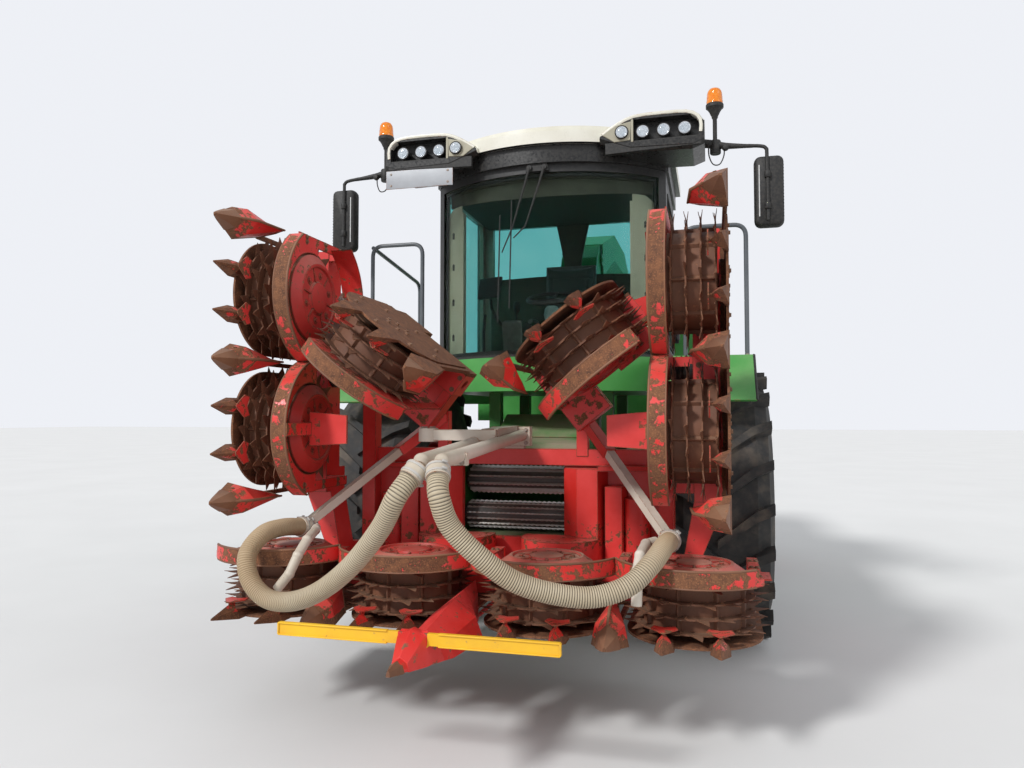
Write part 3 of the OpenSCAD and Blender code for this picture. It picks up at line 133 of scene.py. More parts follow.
# Studio floor: pale grey concrete without an edge in view, with the faint clouding of a floated
# slab.
def nodes_of(name):
    """A new material, its node tree and its shader."""
    material = bpy.data.materials.new(name)
    material.use_nodes = True
    return material, material.node_tree, material.node_tree.nodes["Principled BSDF"]


def own_place(tree):
    """Where a point lies on the object itself."""
    return made(tree, "ShaderNodeTexCoord", out="Object")


def axes(vector):
    """The X, Y and Z of a vector."""
    split = vector.tree.nodes.new("ShaderNodeSeparateXYZ")
    feed(split, {0: vector})
    return [Value(output) for output in split.outputs]


def pattern(tree, scale, detail=4.0, rough=0.55, vector=None):
    """Noise on the object's own coordinates, or on vector."""
    return made(tree, "ShaderNodeTexNoise", {"Scale": scale, "Detail": detail, "Roughness": rough,
                                             "Vector": vector or own_place(tree)}, "Fac")


def blend_of(share, low, high):
    """A mix of two colours, by share."""
    return made(share.tree, "ShaderNodeMix", {0: share, 6: low, 7: high}, 2, data_type="RGBA")


def raise_by(shader, height, distance, strength):
    """A bump of that height on the shader."""
    feed(shader, {"Normal": made(height.tree, "ShaderNodeBump", {
        "Strength": strength, "Distance": distance, "Height": height})})


def mottled(name, cloud, dark, pale, rough, grain=None, also=None):
    """A material clouded from dark to pale; cloud is (scale, detail, start, end) and grain is
    (scale, detail, depth, strength)."""
    material, tree, shader = nodes_of(name)
    clouding = between(pattern(tree, *cloud[:2]), *cloud[2:])
    feed(shader, {"Base Color": blend_of(clouding, dark, pale), "Roughness": rough, **(also or {})})
    if grain:
        raise_by(shader, pattern(tree, *grain[:2]), *grain[2:])
    return material


floor_half = 90
floor_mesh = bpy.data.meshes.new("floor")
floor_mesh.from_pydata([(x * floor_half, y * floor_half, 0) for x, y in ((-1, -1), (1, -1), (1, 1), (-1, 1))],
                       [], [(0, 1, 2, 3)])
floor_mesh.materials.append(mottled("studio_floor", (0.6, 6, 0, 1), (0.6, 0.6, 0.59), (0.68, 0.68, 0.67),
                                    0.9))
in_scene("floor", floor_mesh)


# Hoses: two beige corrugated suction hoses of 96 mm, ribbed by a wire coil, that hang in loops from
# the push beam's front end down over the rotors and up to a clamp on each side.
class Steelwork:
    """Collects plates, tubes and turned parts, then joins them to one piece on a body."""

    def __init__(self, place=None):
        self.points, self.faces, self.finish = [], [], []
        self.place = place or Matrix.Identity(4)

    def add(self, points, faces, m=0):
        base = len(self.points)
        self.points += [self.place @ Vector(p) for p in points]
        self.faces += [[base + i for i in f] for f in faces]
        self.finish += [m] * len(faces)

    def join(self, other):
        """What another one holds, set where this one stands."""
        base = len(self.points)
        self.points += [self.place @ p for p in other.points]
        self.faces += [[base + i for i in f] for f in other.faces]
        self.finish += other.finish

    def take(self, mesh, turn=None):
        """A mesh made elsewhere, turned and moved by turn."""
        turn = turn or Matrix.Identity(4)
        self.add([turn @ v.co for v in mesh.vertices], [list(f.vertices) for f in mesh.polygons])

    def skin(self, rings, m=0):
        """A solid through rings of equal length."""
        n = len(rings[0])
        faces = [[k * n + i, k * n + (i + 1) % n, (k + 1) * n + (i + 1) % n, (k + 1) * n + i]
                 for k in range(len(rings) - 1) for i in range(n)]
        faces += [list(range(n))[::-1], [(len(rings) - 1) * n + i for i in range(n)]]
        self.add([p for ring in rings for p in ring], faces, m)

    def stack(self, levels, m=0):
        """A solid through rectangles; each is x0, x1, y0, y1 and its height z."""
        self.skin([[(x0, y0, z), (x1, y0, z), (x1, y1, z), (x0, y1, z)] for x0, x1, y0, y1, z in levels], m)

    def box(self, start, end, m=0):
        """A block between two opposite corners."""
        x0, x1, y0, y1, z0, z1 = (c for pair in zip(start, end) for c in sorted(pair))
        self.stack([(x0, x1, y0, y1, z) for z in (z0, z1)], m)

    def prism(self, axis, outline, levels, m=0):
        """A solid of one outline between levels along the axis "x", "y" or "z"."""
        at = "xyz".index(axis)
        self.skin([[(*p[:at], level, *p[at:]) for p in outline] for level in levels], m)

    def tube(self, path, radius, m=0, sides=12):
        """A round bar or pipe along path; radius may be a list."""
        path = [Vector(p) for p in path]
        radii = radius if isinstance(radius, (list, tuple)) else [radius] * len(path)
        side, rings = None, []
        for i, p in enumerate(path):
            way = (path[min(i + 1, len(path) - 1)] - path[max(i - 1, 0)]).normalized()
            if side is None:
                side = way.orthogonal().normalized()
            side = (side - way * side.dot(way)).normalized()
            other = way.cross(side)
            rings.append([p + radii[i] * (side * math.cos(a) + other * math.sin(a))
                          for a in (2 * math.pi * k / sides for k in range(sides))])
        self.skin(rings, m)

    def turned(self, profile, centre, axis, m=0, steps=32):
        """A solid turned round an axis; profile is (radius, height) from one end to the other."""
        axis = Vector(axis).normalized()
        side = axis.orthogonal().normalized()
        other = axis.cross(side)
        centre = Vector(centre)
        self.skin([[centre + axis * h + max(r, 0.0004) * (side * math.cos(a) + other * math.sin(a))
                    for a in (2 * math.pi * k / steps for k in range(steps))] for r, h in profile], m)

    def done(self, name, body, *materials, slot, bevel=0.0, smooth=35, replaces=()):
        """The piece, on its body, with its finish and the nodes it stands for."""
        mesh = bpy.data.meshes.new(name)
        mesh.from_pydata(self.points, [], self.faces)
        for material in materials:
            mesh.materials.append(material)
        mesh.polygons.foreach_set("material_index", self.finish)
        fair = bmesh.new()
        fair.from_mesh(mesh)
        bmesh.ops.recalc_face_normals(fair, faces=fair.faces)
        fair.to_mesh(mesh)
        fair.free()
        mesh.shade_smooth()
        mesh.set_sharp_from_angle(angle=math.radians(smooth))
        piece = in_scene(name, mesh)
        if bevel:
            edge = piece.modifiers.new("edge", "BEVEL")
            edge.width = bevel
            edge.segments = 2
            edge.limit_method = "ANGLE"
            edge.angle_limit = math.radians(40)
        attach(piece, body)
        if replaces:
            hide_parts(*replaces)
        return piece


def smooth_path(points, steps):
    """Points on the same smooth curve as the source draws through the route."""
    points = [Vector(p) for p in points]
    line = []
    for i in range(len(points) - 1):
        p0, p1 = points[max(i - 1, 0)], points[i]
        p2, p3 = points[i + 1], points[min(i + 2, len(points) - 1)]
        for k in range(steps):
            u = k / steps
            line.append(0.5 * (2 * p1 + (p2 - p0) * u + (2 * p0 - 5 * p1 + 4 * p2 - p3) * u * u
                               + (3 * p1 - p0 - 3 * p2 + p3) * u ** 3))
    return line + [points[-1]]


def length_of(line):
    return sum((b - a).length for a, b in zip(line, line[1:]))


def even_marks(line, steps):
    """Points at equal distances along a line."""
    length, marks, walk, spot = length_of(line), [], 0.0, 0
    for i in range(steps + 1):
        want = length * i / steps
        while spot < len(line) - 2 and walk + (line[spot + 1] - line[spot]).length < want:
            walk += (line[spot + 1] - line[spot]).length
            spot += 1
        step = (line[spot + 1] - line[spot]).length
        marks.append(line[spot].lerp(line[spot + 1], min(1, (want - walk) / step)))
    return marks


hose_diameter = 0.096
rib_pitch = 0.0115
hose_routes = {
    "right": ((-0.066, -3.265, 1.33), (-0.11, -3.315, 1.25), (-0.2, -3.27, 1.11),
              (-0.37, -3.2, 0.93), (-0.56, -3.13, 0.79), (-0.74, -3.08, 0.715),
              (-0.9, -3.045, 0.71), (-1.02, -3.01, 0.785), (-1.075, -2.955, 0.9),
              (-1.06, -2.84, 0.988), (-1.03, -2.7, 1.005), (-1.01, -2.56, 0.99)),
    "left": ((0.066, -3.265, 1.33), (0.09, -3.315, 1.26), (0.13, -3.28, 1.13),
             (0.25, -3.24, 1.0), (0.39, -3.18, 0.89), (0.56, -3.11, 0.83),
             (0.72, -3.05, 0.815), (0.86, -2.995, 0.86), (0.95, -2.91, 0.94),
             (1.0, -2.76, 0.998), (1.01, -2.56, 0.99))}
dust_start = {"right": 0.5, "left": 0.72}
for side, route in hose_routes.items():
    corrugated, tree, shader = nodes_of("corrugated_hose_" + side)
    groove, settled = (made(tree, "ShaderNodeAttribute", out="Fac", attribute_name=name)
                       for name in ("groove", "dust"))
    dirt = pattern(tree, 9, 5)
    rib = blend_of(dirt, (0.5, 0.43, 0.31), (0.36, 0.28, 0.18))
    # Painted shade: the deepest ring of every groove is coloured dark brown, as the shade in the valleys
    # between the ribs.
    colour = blend_of(groove, rib, (0.075, 0.06, 0.042))
    caked = blend_of(dirt, (0.3, 0.2, 0.11), (0.44, 0.33, 0.2))
    feed(shader, {"Base Color": blend_of(settled, colour, caked), "Roughness": 0.62})
    raise_by(shader, pattern(tree, 160, 3), 0.002, 0.4)
    line = smooth_path(route, 60)
    length = length_of(line)
    steps = int(length / rib_pitch) * 4
    marks = even_marks(line, steps)
    depths = (0, 0.0006, 0.0045, 0.0006)
    sides = 20
    hose = Steelwork()
    hose.tube(marks, [hose_diameter / 2 - depths[i % 4] for i in range(steps + 1)], sides=sides)
    piece = hose.done("hose_" + side + "_corrugated", "header", corrugated, smooth=80, slot="hose_rubber",
                      replaces=["hose_" + side])
    # groove marks the valley rings that get the painted shade; dust marks the caked lower end.
    for name, value in (("groove", lambda i: 1.0 if i % 4 == 2 else 0.0),
                        ("dust", lambda i: max(0, min(0.92, (i / steps - dust_start[side]) * 5)))):
        attribute = piece.data.attributes.new(name, "FLOAT", "POINT")
        attribute.data.foreach_set("value", [value(v // sides) for v in range(len(piece.data.vertices))])


# Painted steel of the header: sheet and castings in a red that the sun has faded, worn to brown rust
# along every edge, on the skid plates below the tips and on the points that touch the crop first.
tip_line_y, tip_plane_z = -3.0, 0.573


def painted(name, colour, faded, wear=0.5, rough=0.35, rust=((0.12, 0.045, 0.022), (0.3, 0.125, 0.058)),
            dust=0.25, edge=0.01, bare=(), shift=None, metal=0.0):
    """Paint over steel with fading, worn edges, spots of rust and dust; bare lists where rust takes over."""
    material, tree, shader = nodes_of(name)
    vector = own_place(tree)
    if shift:
        vector = made(tree, "ShaderNodeMapping", {
            "Vector": vector, **dict(zip(("Location", "Rotation", "Scale"), shift))})
    broad = pattern(tree, 2.3, 5, 0.6, vector)
    fine = pattern(tree, 24, 6, 0.65, vector)
    grain = pattern(tree, 140, 3, 0.6, vector)
    facing = made(tree, "ShaderNodeNewGeometry", out="Normal")
    rounded = made(tree, "ShaderNodeBevel", {"Radius": edge}, samples=4)
    corner = made(tree, "ShaderNodeVectorMath", {0: rounded, 1: facing}, "Value", operation="DOT_PRODUCT")
    mask = between(corner, 0.995, 0.84, 0, 0.42 + 0.3 * wear) + between(fine, 0.3, 0.7, -0.34, 0.34)
    mask += between(broad, 0.3, 0.7, -0.3 * wear, 0.36 * wear)
    for axis, start, end, amount in bare:
        mask += between(axes(vector)["XYZ".index(axis)], start, end, 0, amount)
    mask = between(mask, 0.4 - 0.05 * wear, 0.46 - 0.05 * wear)
    brown = blend_of(between(fine, 0.35, 0.65), *rust)
    brown = blend_of(between(grain, 0.52, 0.7), brown, tuple(c * 1.6 for c in rust[1]))
    lying = between(axes(facing)[2], 0.3, 0.95) * between(broad, 0.35, 0.7, 0.2 * dust, dust * 2)
    body = blend_of(between(broad, 0.38, 0.66), colour, faded)
    body = blend_of(lying, body, (0.3, 0.24, 0.17))
    shine = between(grain, 0.3, 0.7, rough, rough + 0.12)
    feed(shader, {"Base Color": blend_of(mask, body, brown), "Metallic": metal,
                  "Roughness": shine.sum("MAXIMUM", between(mask, 0, 1, 0, 0.85))})
    raise_by(shader, grain * 0.25 - mask * 0.5, 0.0016, 0.5)
    return material


def coat(material, *names):
    """Gives CAD nodes a finish."""
    for name in names:
        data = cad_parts[name].data
        data.materials.clear()
        data.materials.append(material)


def turn_about(x, z, angle):
    """A turn about the line through x, z that runs along Y, as a fold hinge turns its wing."""
    return Matrix.Translation((x, 0, z)) @ Matrix.Rotation(-angle, 4, "Y") @ Matrix.Translation((-x, 0, -z))


hinges = {"wing": (1.09, tip_plane_z + 0.177), "outer": (2.707, tip_plane_z + 0.149)}
folds = {"header": Matrix.Identity(4), "wing": turn_about(*hinges["wing"], math.radians(90))}
folds["outer"] = folds["wing"] @ turn_about(*hinges["outer"], math.radians(128))
hands = {"left": 1, "right": -1}
units = {"header": ("header", Matrix.Identity(4))}
for kind in ("wing", "outer"):
    for side, s in hands.items():
        units[kind + "_" + side] = (kind, Matrix.Diagonal((s, 1, 1, 1)) @ folds[kind])
header_red, header_faded = (0.6, 0.024, 0.018), (0.74, 0.06, 0.055)
worn_places = (("Z", tip_plane_z + 0.004, tip_plane_z - 0.012, 0.9),
               ("Y", tip_line_y + 0.34, tip_line_y + 0.03, 0.62),
               ("Z", tip_plane_z + 0.24, tip_plane_z + 0.256, 0.24),
               ("Z", tip_plane_z + 0.392, tip_plane_z + 0.4, -0.24))
header_rust = ((0.075, 0.03, 0.015), (0.185, 0.074, 0.031))
for unit, (kind, place) in units.items():
    back = folds[kind].inverted()
    red = painted("red_" + unit, header_red, header_faded, wear=0.62, rough=0.32, rust=header_rust,
                  bare=worn_places,
                  shift=(back.translation, back.to_euler(), (-1 if "right" in unit else 1, 1, 1)))
    coat(red, "header_frame" if kind == "header" else unit)
    if kind == "wing":
        coat(red, unit.replace("wing", "wing_dividers"))


# Rotors: ten rusty drums, each with four discs of sickle teeth that were bent a little by years of
# stubble, crop bars welded round the drum, and a dished cap with its hub bolts.
def new_tree(name, *inputs):
    """A tree of geometry nodes, and what comes into it under those names."""
    tree = bpy.data.node_groups.new(name, "GeometryNodeTree")
    for label, kind in inputs:
        tree.interface.new_socket(label, in_out="INPUT", socket_type="NodeSocket" + kind)
    tree.interface.new_socket("Mesh", in_out="OUTPUT", socket_type="NodeSocketGeometry")
    return tree, {socket.name: Value(socket) for socket in tree.nodes.new("NodeGroupInput").outputs}


def grown(tree, sizes, base=None):
    """The mesh that a tree grows with those sizes, from the points of base."""
    holder = in_scene("holder", base or bpy.data.meshes.new("holder"))
    grow = holder.modifiers.new("grow", "NODES")
    grow.node_group = tree
    for item in tree.interface.items_tree:
        if item.in_out == "INPUT" and item.name in sizes:
            grow[item.identifier] = sizes[item.name]
    bpy.context.view_layer.update()
    mesh = bpy.data.meshes.new_from_object(holder.evaluated_get(bpy.context.evaluated_depsgraph_get()))
    bpy.data.objects.remove(holder)
    return mesh


tree, given = new_tree("parts_round_an_axis", ("Part", "Object"), ("Count", "Int"), ("First turn", "Float"))
step = made(tree, "ShaderNodeMath", {0: 2 * math.pi, 1: given["Count"]}, operation="DIVIDE")
turn = made(tree, "ShaderNodeMath",
            {0: made(tree, "GeometryNodeInputIndex"), 1: step, 2: given["First turn"]},
            operation="MULTIPLY_ADD")
copies = made(tree, "GeometryNodeInstanceOnPoints", {
    "Points": made(tree, "GeometryNodePoints", {"Count": given["Count"]}),
    "Instance": made(tree, "GeometryNodeObjectInfo", {"Object": given["Part"]}, "Geometry"),
    "Rotation": made(tree, "ShaderNodeCombineXYZ", {"Z": turn})})
feed(tree.nodes.new("NodeGroupOutput"), {0: made(tree, "GeometryNodeRealizeInstances", {0: copies})})
ring_tree = tree


def ring_of(work, count, first=0.0):
    """Copies of what work holds, set round the Z axis."""
    mesh = bpy.data.meshes.new("one")
    mesh.from_pydata(work.points, [], work.faces)
    one = in_scene("one", mesh)
    ring = grown(ring_tree, {"Part": one, "Count": count, "First turn": first})
    bpy.data.objects.remove(one)
    return ring


tree, given = new_tree("bolts_on_points", ("Points", "Geometry"), ("Head", "Float"), ("Height", "Float"))
head = made(tree, "GeometryNodeMeshCylinder", {
    "Vertices": 6, "Radius": given["Head"] * 0.5, "Depth": given["Height"]}, "Mesh")
washer = made(tree, "GeometryNodeMeshCylinder", {
    "Vertices": 14, "Radius": given["Head"] * 0.78, "Depth": given["Height"] * 0.5}, "Mesh")
lift = made(tree, "ShaderNodeCombineXYZ", {"Z": given["Height"] * 0.5})
both = tree.nodes.new("GeometryNodeJoinGeometry")
feed(both, {0: made(tree, "GeometryNodeTransform", {"Geometry": head, "Translation": lift})})
feed(both, {0: washer})
way = made(tree, "GeometryNodeInputNamedAttribute", {"Name": "way"}, data_type="FLOAT_VECTOR")
copies = made(tree, "GeometryNodeInstanceOnPoints", {
    "Points": given["Points"], "Instance": Value(both.outputs[0]),
    "Rotation": made(tree, "FunctionNodeAlignRotationToVector", {"Vector": way}, axis="Z")})
feed(tree.nodes.new("NodeGroupOutput"), {0: made(tree, "GeometryNodeRealizeInstances", {0: copies})})
bolt_tree = tree


def bolts(spots, head, height):
    """Hexagon bolts with washers; each spot is its foot and the way it points."""
    base = bpy.data.meshes.new("spots")
    base.from_pydata([spot for spot, _ in spots], [], [])
    ways = base.attributes.new("way", "FLOAT_VECTOR", "POINT")
    ways.data.foreach_set("vector", [c for _, w in spots for c in Vector(w).normalized()])
    return grown(bolt_tree, {"Head": head, "Height": height}, base)


def bolt_piece(name, body, spots, finish, head, height, slot, place=None):
    """A piece that is bolts alone."""
    work = Steelwork(place)
    work.take(bolts(spots, head, height))
    work.done(name, body, finish, smooth=30, slot=slot)


def circle(count, radius, first=0.0):
    """Points at equal steps round a circle, from the angle first."""
    angles = [first + 2 * math.pi * k / count for k in range(count)]
    return [(radius * math.cos(a), radius * math.sin(a)) for a in angles]


rotor_rust = painted("rotor_rust", (0.11, 0.042, 0.021), (0.19, 0.076, 0.038), wear=1.0, rough=0.6,
                     rust=((0.055, 0.024, 0.014), (0.23, 0.1, 0.048)), dust=0.2, edge=0.006)
cap_paint = painted("cap_paint", (0.42, 0.02, 0.014), (0.52, 0.036, 0.028), wear=1.0, rough=0.5,
                    rust=((0.055, 0.026, 0.016), (0.16, 0.076, 0.038)), dust=0.5)
bolt_steel = painted("bolt_steel", (0.26, 0.22, 0.18), (0.36, 0.33, 0.29), wear=0.5, rough=0.45, dust=0.1,
                     edge=0.003)
rotor_y, rotor_pitch = -2.45, 0.75
teeth, discs, disc_gap, disc_start, disc_thick = 18, 4, 0.07, 0.015, 0.008
root_r, tooth_r, drum_r, cap_top = 0.296, 0.3595, 0.25, 0.31
tooth_bend, tooth_thick = 0.011, 0.007


def sickle(bend):
    """One tooth in plan, hooked forwards, its outer part bent up or down."""
    work = Steelwork()
    lead = [(0.0, root_r - 0.014), (0.22, root_r + 0.006), (0.44, root_r + 0.03), (0.6, tooth_r - 0.008),
            (0.665, tooth_r)]
    back = [(0.78, root_r - 0.014), (0.775, root_r + 0.01), (0.745, root_r + 0.03), (0.715, tooth_r - 0.014),
            (0.685, tooth_r)]
    rings = []
    for (a, ra), (b, rb) in zip(lead, back):
        outwards = max(0, (ra - root_r) / (tooth_r - root_r))
        rise = bend * outwards ** 1.5
        grade = tooth_thick * (0.5 - 0.28 * outwards)
        angle_a, angle_b = (2 * math.pi * f / teeth for f in (a, b))
        p = (ra * math.cos(angle_a), ra * math.sin(angle_a))
        q = (rb * math.cos(angle_b), rb * math.sin(angle_b))
        rings.append([(*p, rise), (*q, rise - grade), (*q, rise + grade), (*p, rise + grade * 0.15)])
    work.skin(rings)
    return work


def disc_of(level, phase, bends):
    """A toothed disc: its ring, the teeth in two bends and the bolts that hold its segments."""
    work = Steelwork()
    top, inner_r = level + disc_thick, drum_r - 0.004
    work.turned([(inner_r, level), (root_r, level), (root_r, top), (inner_r, top)], (0, 0, 0), (0, 0, 1),
                steps=72)
    for k, bend in enumerate(bends):
        first = phase + 2 * math.pi * k / teeth
        work.take(ring_of(sickle(bend), teeth // len(bends), first),
                  Matrix.Translation((0, 0, (level + top) / 2)))
    work.take(bolts([((x, y, top), (0, 0, 1)) for x, y in circle(12, 0.274, phase + math.pi / 12)], 0.016,
                    0.006))
    return work


rotor = Steelwork()
rotor.turned([(0.045, 0.012), (drum_r - 0.006, 0.012), (drum_r, 0.018), (drum_r, 0.262),
              (drum_r + 0.001, 0.268), (drum_r - 0.006, 0.274), (0.203, 0.301), (0.197, 0.307),
              (0.188, cap_top - 0.001), (0.18, 0.307), (0.174, 0.297), (0.1, 0.292), (0.094, 0.296),
              (0.09, 0.305), (0.08, 0.309), (0.03, cap_top), (0, cap_top)],
             (0, 0, 0), (0, 0, 1), steps=64)
for k in range(discs):
    disc = disc_of(disc_start + k * disc_gap, math.radians(5 * k),
                   (tooth_bend, -tooth_bend * 0.7, tooth_bend * 0.3))
    rotor.add(disc.points, disc.faces)
bar = Steelwork()
bar.prism("z", ((0.244, -0.016), (0.266, -0.003), (0.266, 0.003), (0.244, 0.016)), (0.026, 0.232))
rotor.take(ring_of(bar, 9, 0.2))
rotor.take(bolts([((x, y, 0.294), (0, 0, 1)) for x, y in circle(6, 0.135)], 0.024, 0.012))
stiffener = Steelwork()
stiffener.skin([[(x, -0.005, 0.294), (x, 0.005, 0.294), (x, 0.005, top), (x, -0.005, top)]
                for x, top in ((0.092, 0.303), (0.176, 0.299))])
rotor.take(ring_of(stiffener, 6, math.pi / 6))
rotor.finish = [int(min(rotor.points[i].z for i in f) > 0.255) for f in rotor.faces]
rotor_units = (("outer_right", 4.5), ("wing_right", 3.5), ("wing_right", 2.5), ("header", -1.5),
               ("header", -0.5), ("header", 0.5), ("header", 1.5), ("wing_left", 2.5), ("wing_left", 3.5),
               ("outer_left", 4.5))
for k, (unit, row_place) in enumerate(rotor_units, 1):
    turned_to = Matrix.Rotation(math.radians(chance.uniform(0, 20)), 4, "Z")
    work = Steelwork(units[unit][1] @ Matrix.Translation((row_place * rotor_pitch, rotor_y,
                                                          tip_plane_z)) @ turned_to)
    work.join(rotor)
    work.done("rotor_%d_toothed" % k, "rotor_%d" % k, rotor_rust, cap_paint, smooth=30, slot="rusty_steel",
              replaces=["rotor_%d" % k])


# Hood rims: the rolled outer edges of the curved sheets round the rotors, rubbed bare by the crop,
# with a stiffening wire of brown steel along their tops.
rim_r, rim_top, rim_foot, rim_reach = 0.396, 0.33, 0.2505, math.radians(69.6)
row_ends = {"header": (-1.448, 1.448), "wing": (1.51, 2.95), "outer": (3.13, 3.745)}
row_rotors = {"header": (-1.125, -0.375, 0.375, 1.125), "wing": (1.875, 2.625), "outer": (3.375,)}
rim_rust = painted("rim_rust", (0.145, 0.06, 0.03), (0.225, 0.096, 0.044), wear=0.8, rough=0.55,
                   rust=((0.09, 0.036, 0.019), (0.24, 0.108, 0.05)), dust=0.15, edge=0.004)
for unit, (kind, place) in units.items():
    work = Steelwork(place)
    start, end = row_ends[kind]
    for x in row_rotors[kind]:
        arc = [rim_reach * (k / 18 - 1) for k in range(37)]
        path = [(x + rim_r * math.sin(a), rotor_y - rim_r * math.cos(a), tip_plane_z + rim_top) for a in arc]
        path = [p for p in path if start <= p[0] <= end and not (kind == "header" and abs(p[0]) > 1.42)]
        if len(path) > 3:
            work.tube(path, 0.0065, sides=8)
            work.tube([(px, py - 0.002, tip_plane_z + rim_foot) for px, py, _ in path], 0.0045, sides=6)
    work.done("rim_wires_" + unit, unit, rim_rust, smooth=60, slot="rusty_steel")


# Bolts of the header: hexagon heads on the hood bars, the beams and the gearbox plates, brown with
# rust and greased over.
bolt_rust = painted("bolt_rust", (0.16, 0.075, 0.04), (0.24, 0.125, 0.07), wear=0.6, rough=0.5,
                    rust=((0.09, 0.04, 0.022), (0.26, 0.125, 0.062)), dust=0.3, edge=0.003)
row_bars = {"header": (-1.422, -0.75, 0, 0.75, 1.422), "wing": (1.545, 2.25, 2.955), "outer": (3.16, 3.71)}
bar_top, beam_face = 0.26, -2.05
for unit, (kind, place) in units.items():
    spots = []
    for x in row_bars[kind]:
        spots += [((x + dx, y, tip_plane_z + bar_top - 0.001), (0, 0, 1))
                  for y in (-2.52, -2.3, -2.12) for dx in (-0.014, 0.014)]
    start, end = row_ends[kind]
    first, last = (-0.97, 0.97) if kind == "header" else (start + 0.02, end - 0.02)
    steps = 4 if kind == "outer" else 8
    for k in range(steps + 1):
        x = first + (last - first) * k / steps
        if kind == "header" or 1.56 < x < 3.0 or x > 3.2:
            spots += [((x, beam_face, tip_plane_z + z), (0, -1, 0)) for z in (0.03, 0.115)]
    for x in row_rotors[kind]:
        spots += [((x + dx, rotor_y + dy, tip_plane_z - 0.0385), (0, 0, -1))
                  for dx, dy in circle(8, 0.28) + circle(6, 0.07)]
    bolt_piece("bolts_" + unit, unit, spots, bolt_rust, 0.02, 0.011, "rusty_steel", place)


# Divider noses: cast points slipped over the ends of the dividers, bare brown steel from the crop
# that rubs along them, each held by a bolt from the side.
large_places = {"header": (-0.75, 0.75), "wing": (1.5, 2.25, 3.0), "outer": (3.75,)}
nose_end = 0.118
nose_steps = ((0.004, 0.0015), (0.03, 0.0035), (0.075, 0.0035), (nose_end, 0.003), (nose_end + 0.006, 0.0004))


def section_at(y, grow=0.0):
    """Half section of a large divider y behind its tip: foot, shoulder and ridge."""
    if y <= 0.2:
        f, rows = y / 0.2, ((5, -8, 4, 2, 6), (90, -38, 70, 60, 130))
    else:
        f, rows = (y - 0.2) / 0.23, ((90, -38, 70, 60, 130), (30, -38, 12, 90, 150))
    foot_x, foot_z, shoulder_x, shoulder_z, ridge_z = ((a + (b - a) * f) / 1000 for a, b in zip(*rows))
    return [(-foot_x - grow, foot_z - grow), (-shoulder_x - grow, shoulder_z + grow * 0.5),
            (0, ridge_z + grow), (shoulder_x + grow, shoulder_z + grow * 0.5), (foot_x + grow, foot_z - grow)]


for unit, (kind, place) in units.items():
    work = Steelwork(place)
    for x in large_places[kind]:
        work.skin([[(x + px, tip_line_y + y, tip_plane_z + pz) for px, pz in section_at(y, grow)]
                   for y, grow in nose_steps])
        work.take(bolts([((x + s * 0.0585, tip_line_y + 0.16, tip_plane_z + 0.02), (s, -0.3, 0.25))
                         for s in (-1, 1)],
                        0.018, 0.009))
        ridge = [(x, tip_line_y + y, tip_plane_z + section_at(y)[2][1] + 0.001)
                 for y in (0.11, 0.16, 0.2, 0.3, 0.425)]
        work.tube(ridge, [0.006, 0.008, 0.008, 0.007, 0.006], sides=8)
        lip = [(x + px, tip_line_y + 0.428, tip_plane_z + pz) for px, pz in section_at(0.43)]
        work.tube(lip, 0.005, sides=6)
    if kind == "header":
        work.skin([[(px, y, 0.61 + pz) for px, pz in ring] for y, ring in (
            (-3.637, ((-0.0085, -0.0135), (-0.0055, 0.0045), (0, 0.0135), (0.0055, 0.0045),
                      (0.0085, -0.0135))),
            (-3.56, ((-0.0315, -0.024), (-0.0235, 0.008), (0, 0.024), (0.0235, 0.008), (0.0315, -0.024))),
            (-3.545, ((-0.0325, -0.023), (-0.024, 0.005), (0, 0.0225), (0.024, 0.005), (0.0325, -0.023))))])
    work.done("divider_noses_" + unit, unit, rim_rust, smooth=30, slot="rusty_steel")


# Middle divider: red welded plates whose nose holds the yellow warning board in a folded saddle; the
# board is edged by its own folded flange and scratched from transport.
board_half, board_low, board_high, board_face = 0.63, 0.65, 0.7, -3.385
divider_paint, tree, shader = nodes_of("divider_red_and_board_yellow")
x, y, z = axes(own_place(tree))
on_board = (abs(x) > 0.066) * (abs(y + 3.38) < 0.018) * (z > board_low - 0.006)
worn = pattern(tree, 26, 6)
red_skin = blend_of(between(pattern(tree, 2.4, 5), 0.4, 0.65), header_red, header_faded)
red_skin = blend_of(between(worn, 0.6, 0.66), red_skin, (0.2, 0.085, 0.045))
yellow_skin = blend_of(between(pattern(tree, 5, 5), 0.35, 0.65), (0.8, 0.47, 0.012), (0.7, 0.38, 0.018))
yellow_skin = blend_of(between(worn, 0.64, 0.7), yellow_skin, (0.36, 0.2, 0.07))
feed(shader, {"Base Color": blend_of(on_board, red_skin, yellow_skin),
              "Roughness": between(worn, 0.3, 0.75, 0.3, 0.62)})
raise_by(shader, worn, 0.001, 0.4)
coat(divider_paint, "middle_divider")
saddle = ((-3.52, 0.0415, 0.582, 0.0325, 0.617, 0.64), (-3.405, 0.073, 0.569, 0.06, 0.688, 0.716),
          (-3.358, 0.079, 0.565, 0.064, 0.69, 0.718), (-3.27, 0.1035, 0.557, 0.078, 0.621, 0.6645))
work = Steelwork()
work.skin([[(-foot, y, foot_z), (-shoulder, y, shoulder_z), (0, y, ridge_z), (shoulder, y, shoulder_z),
            (foot, y, foot_z)]
           for y, foot, foot_z, shoulder, shoulder_z, ridge_z in saddle])
work.done("board_saddle", "header", divider_paint, bevel=0.002, slot="red_paint")
work = Steelwork()
for s in (-1, 1):
    for z in (board_low, board_high):
        work.box((s * 0.115, board_face - 0.006, z - 0.0035),
                 (s * board_half, board_face + 0.016, z + 0.0035))
    work.box((s * board_half - 0.0035, board_face - 0.006, board_low),
             (s * board_half + 0.0035, board_face + 0.016, board_high))
work.done("board_flanges", "header", divider_paint, bevel=0.0015, slot="red_paint")
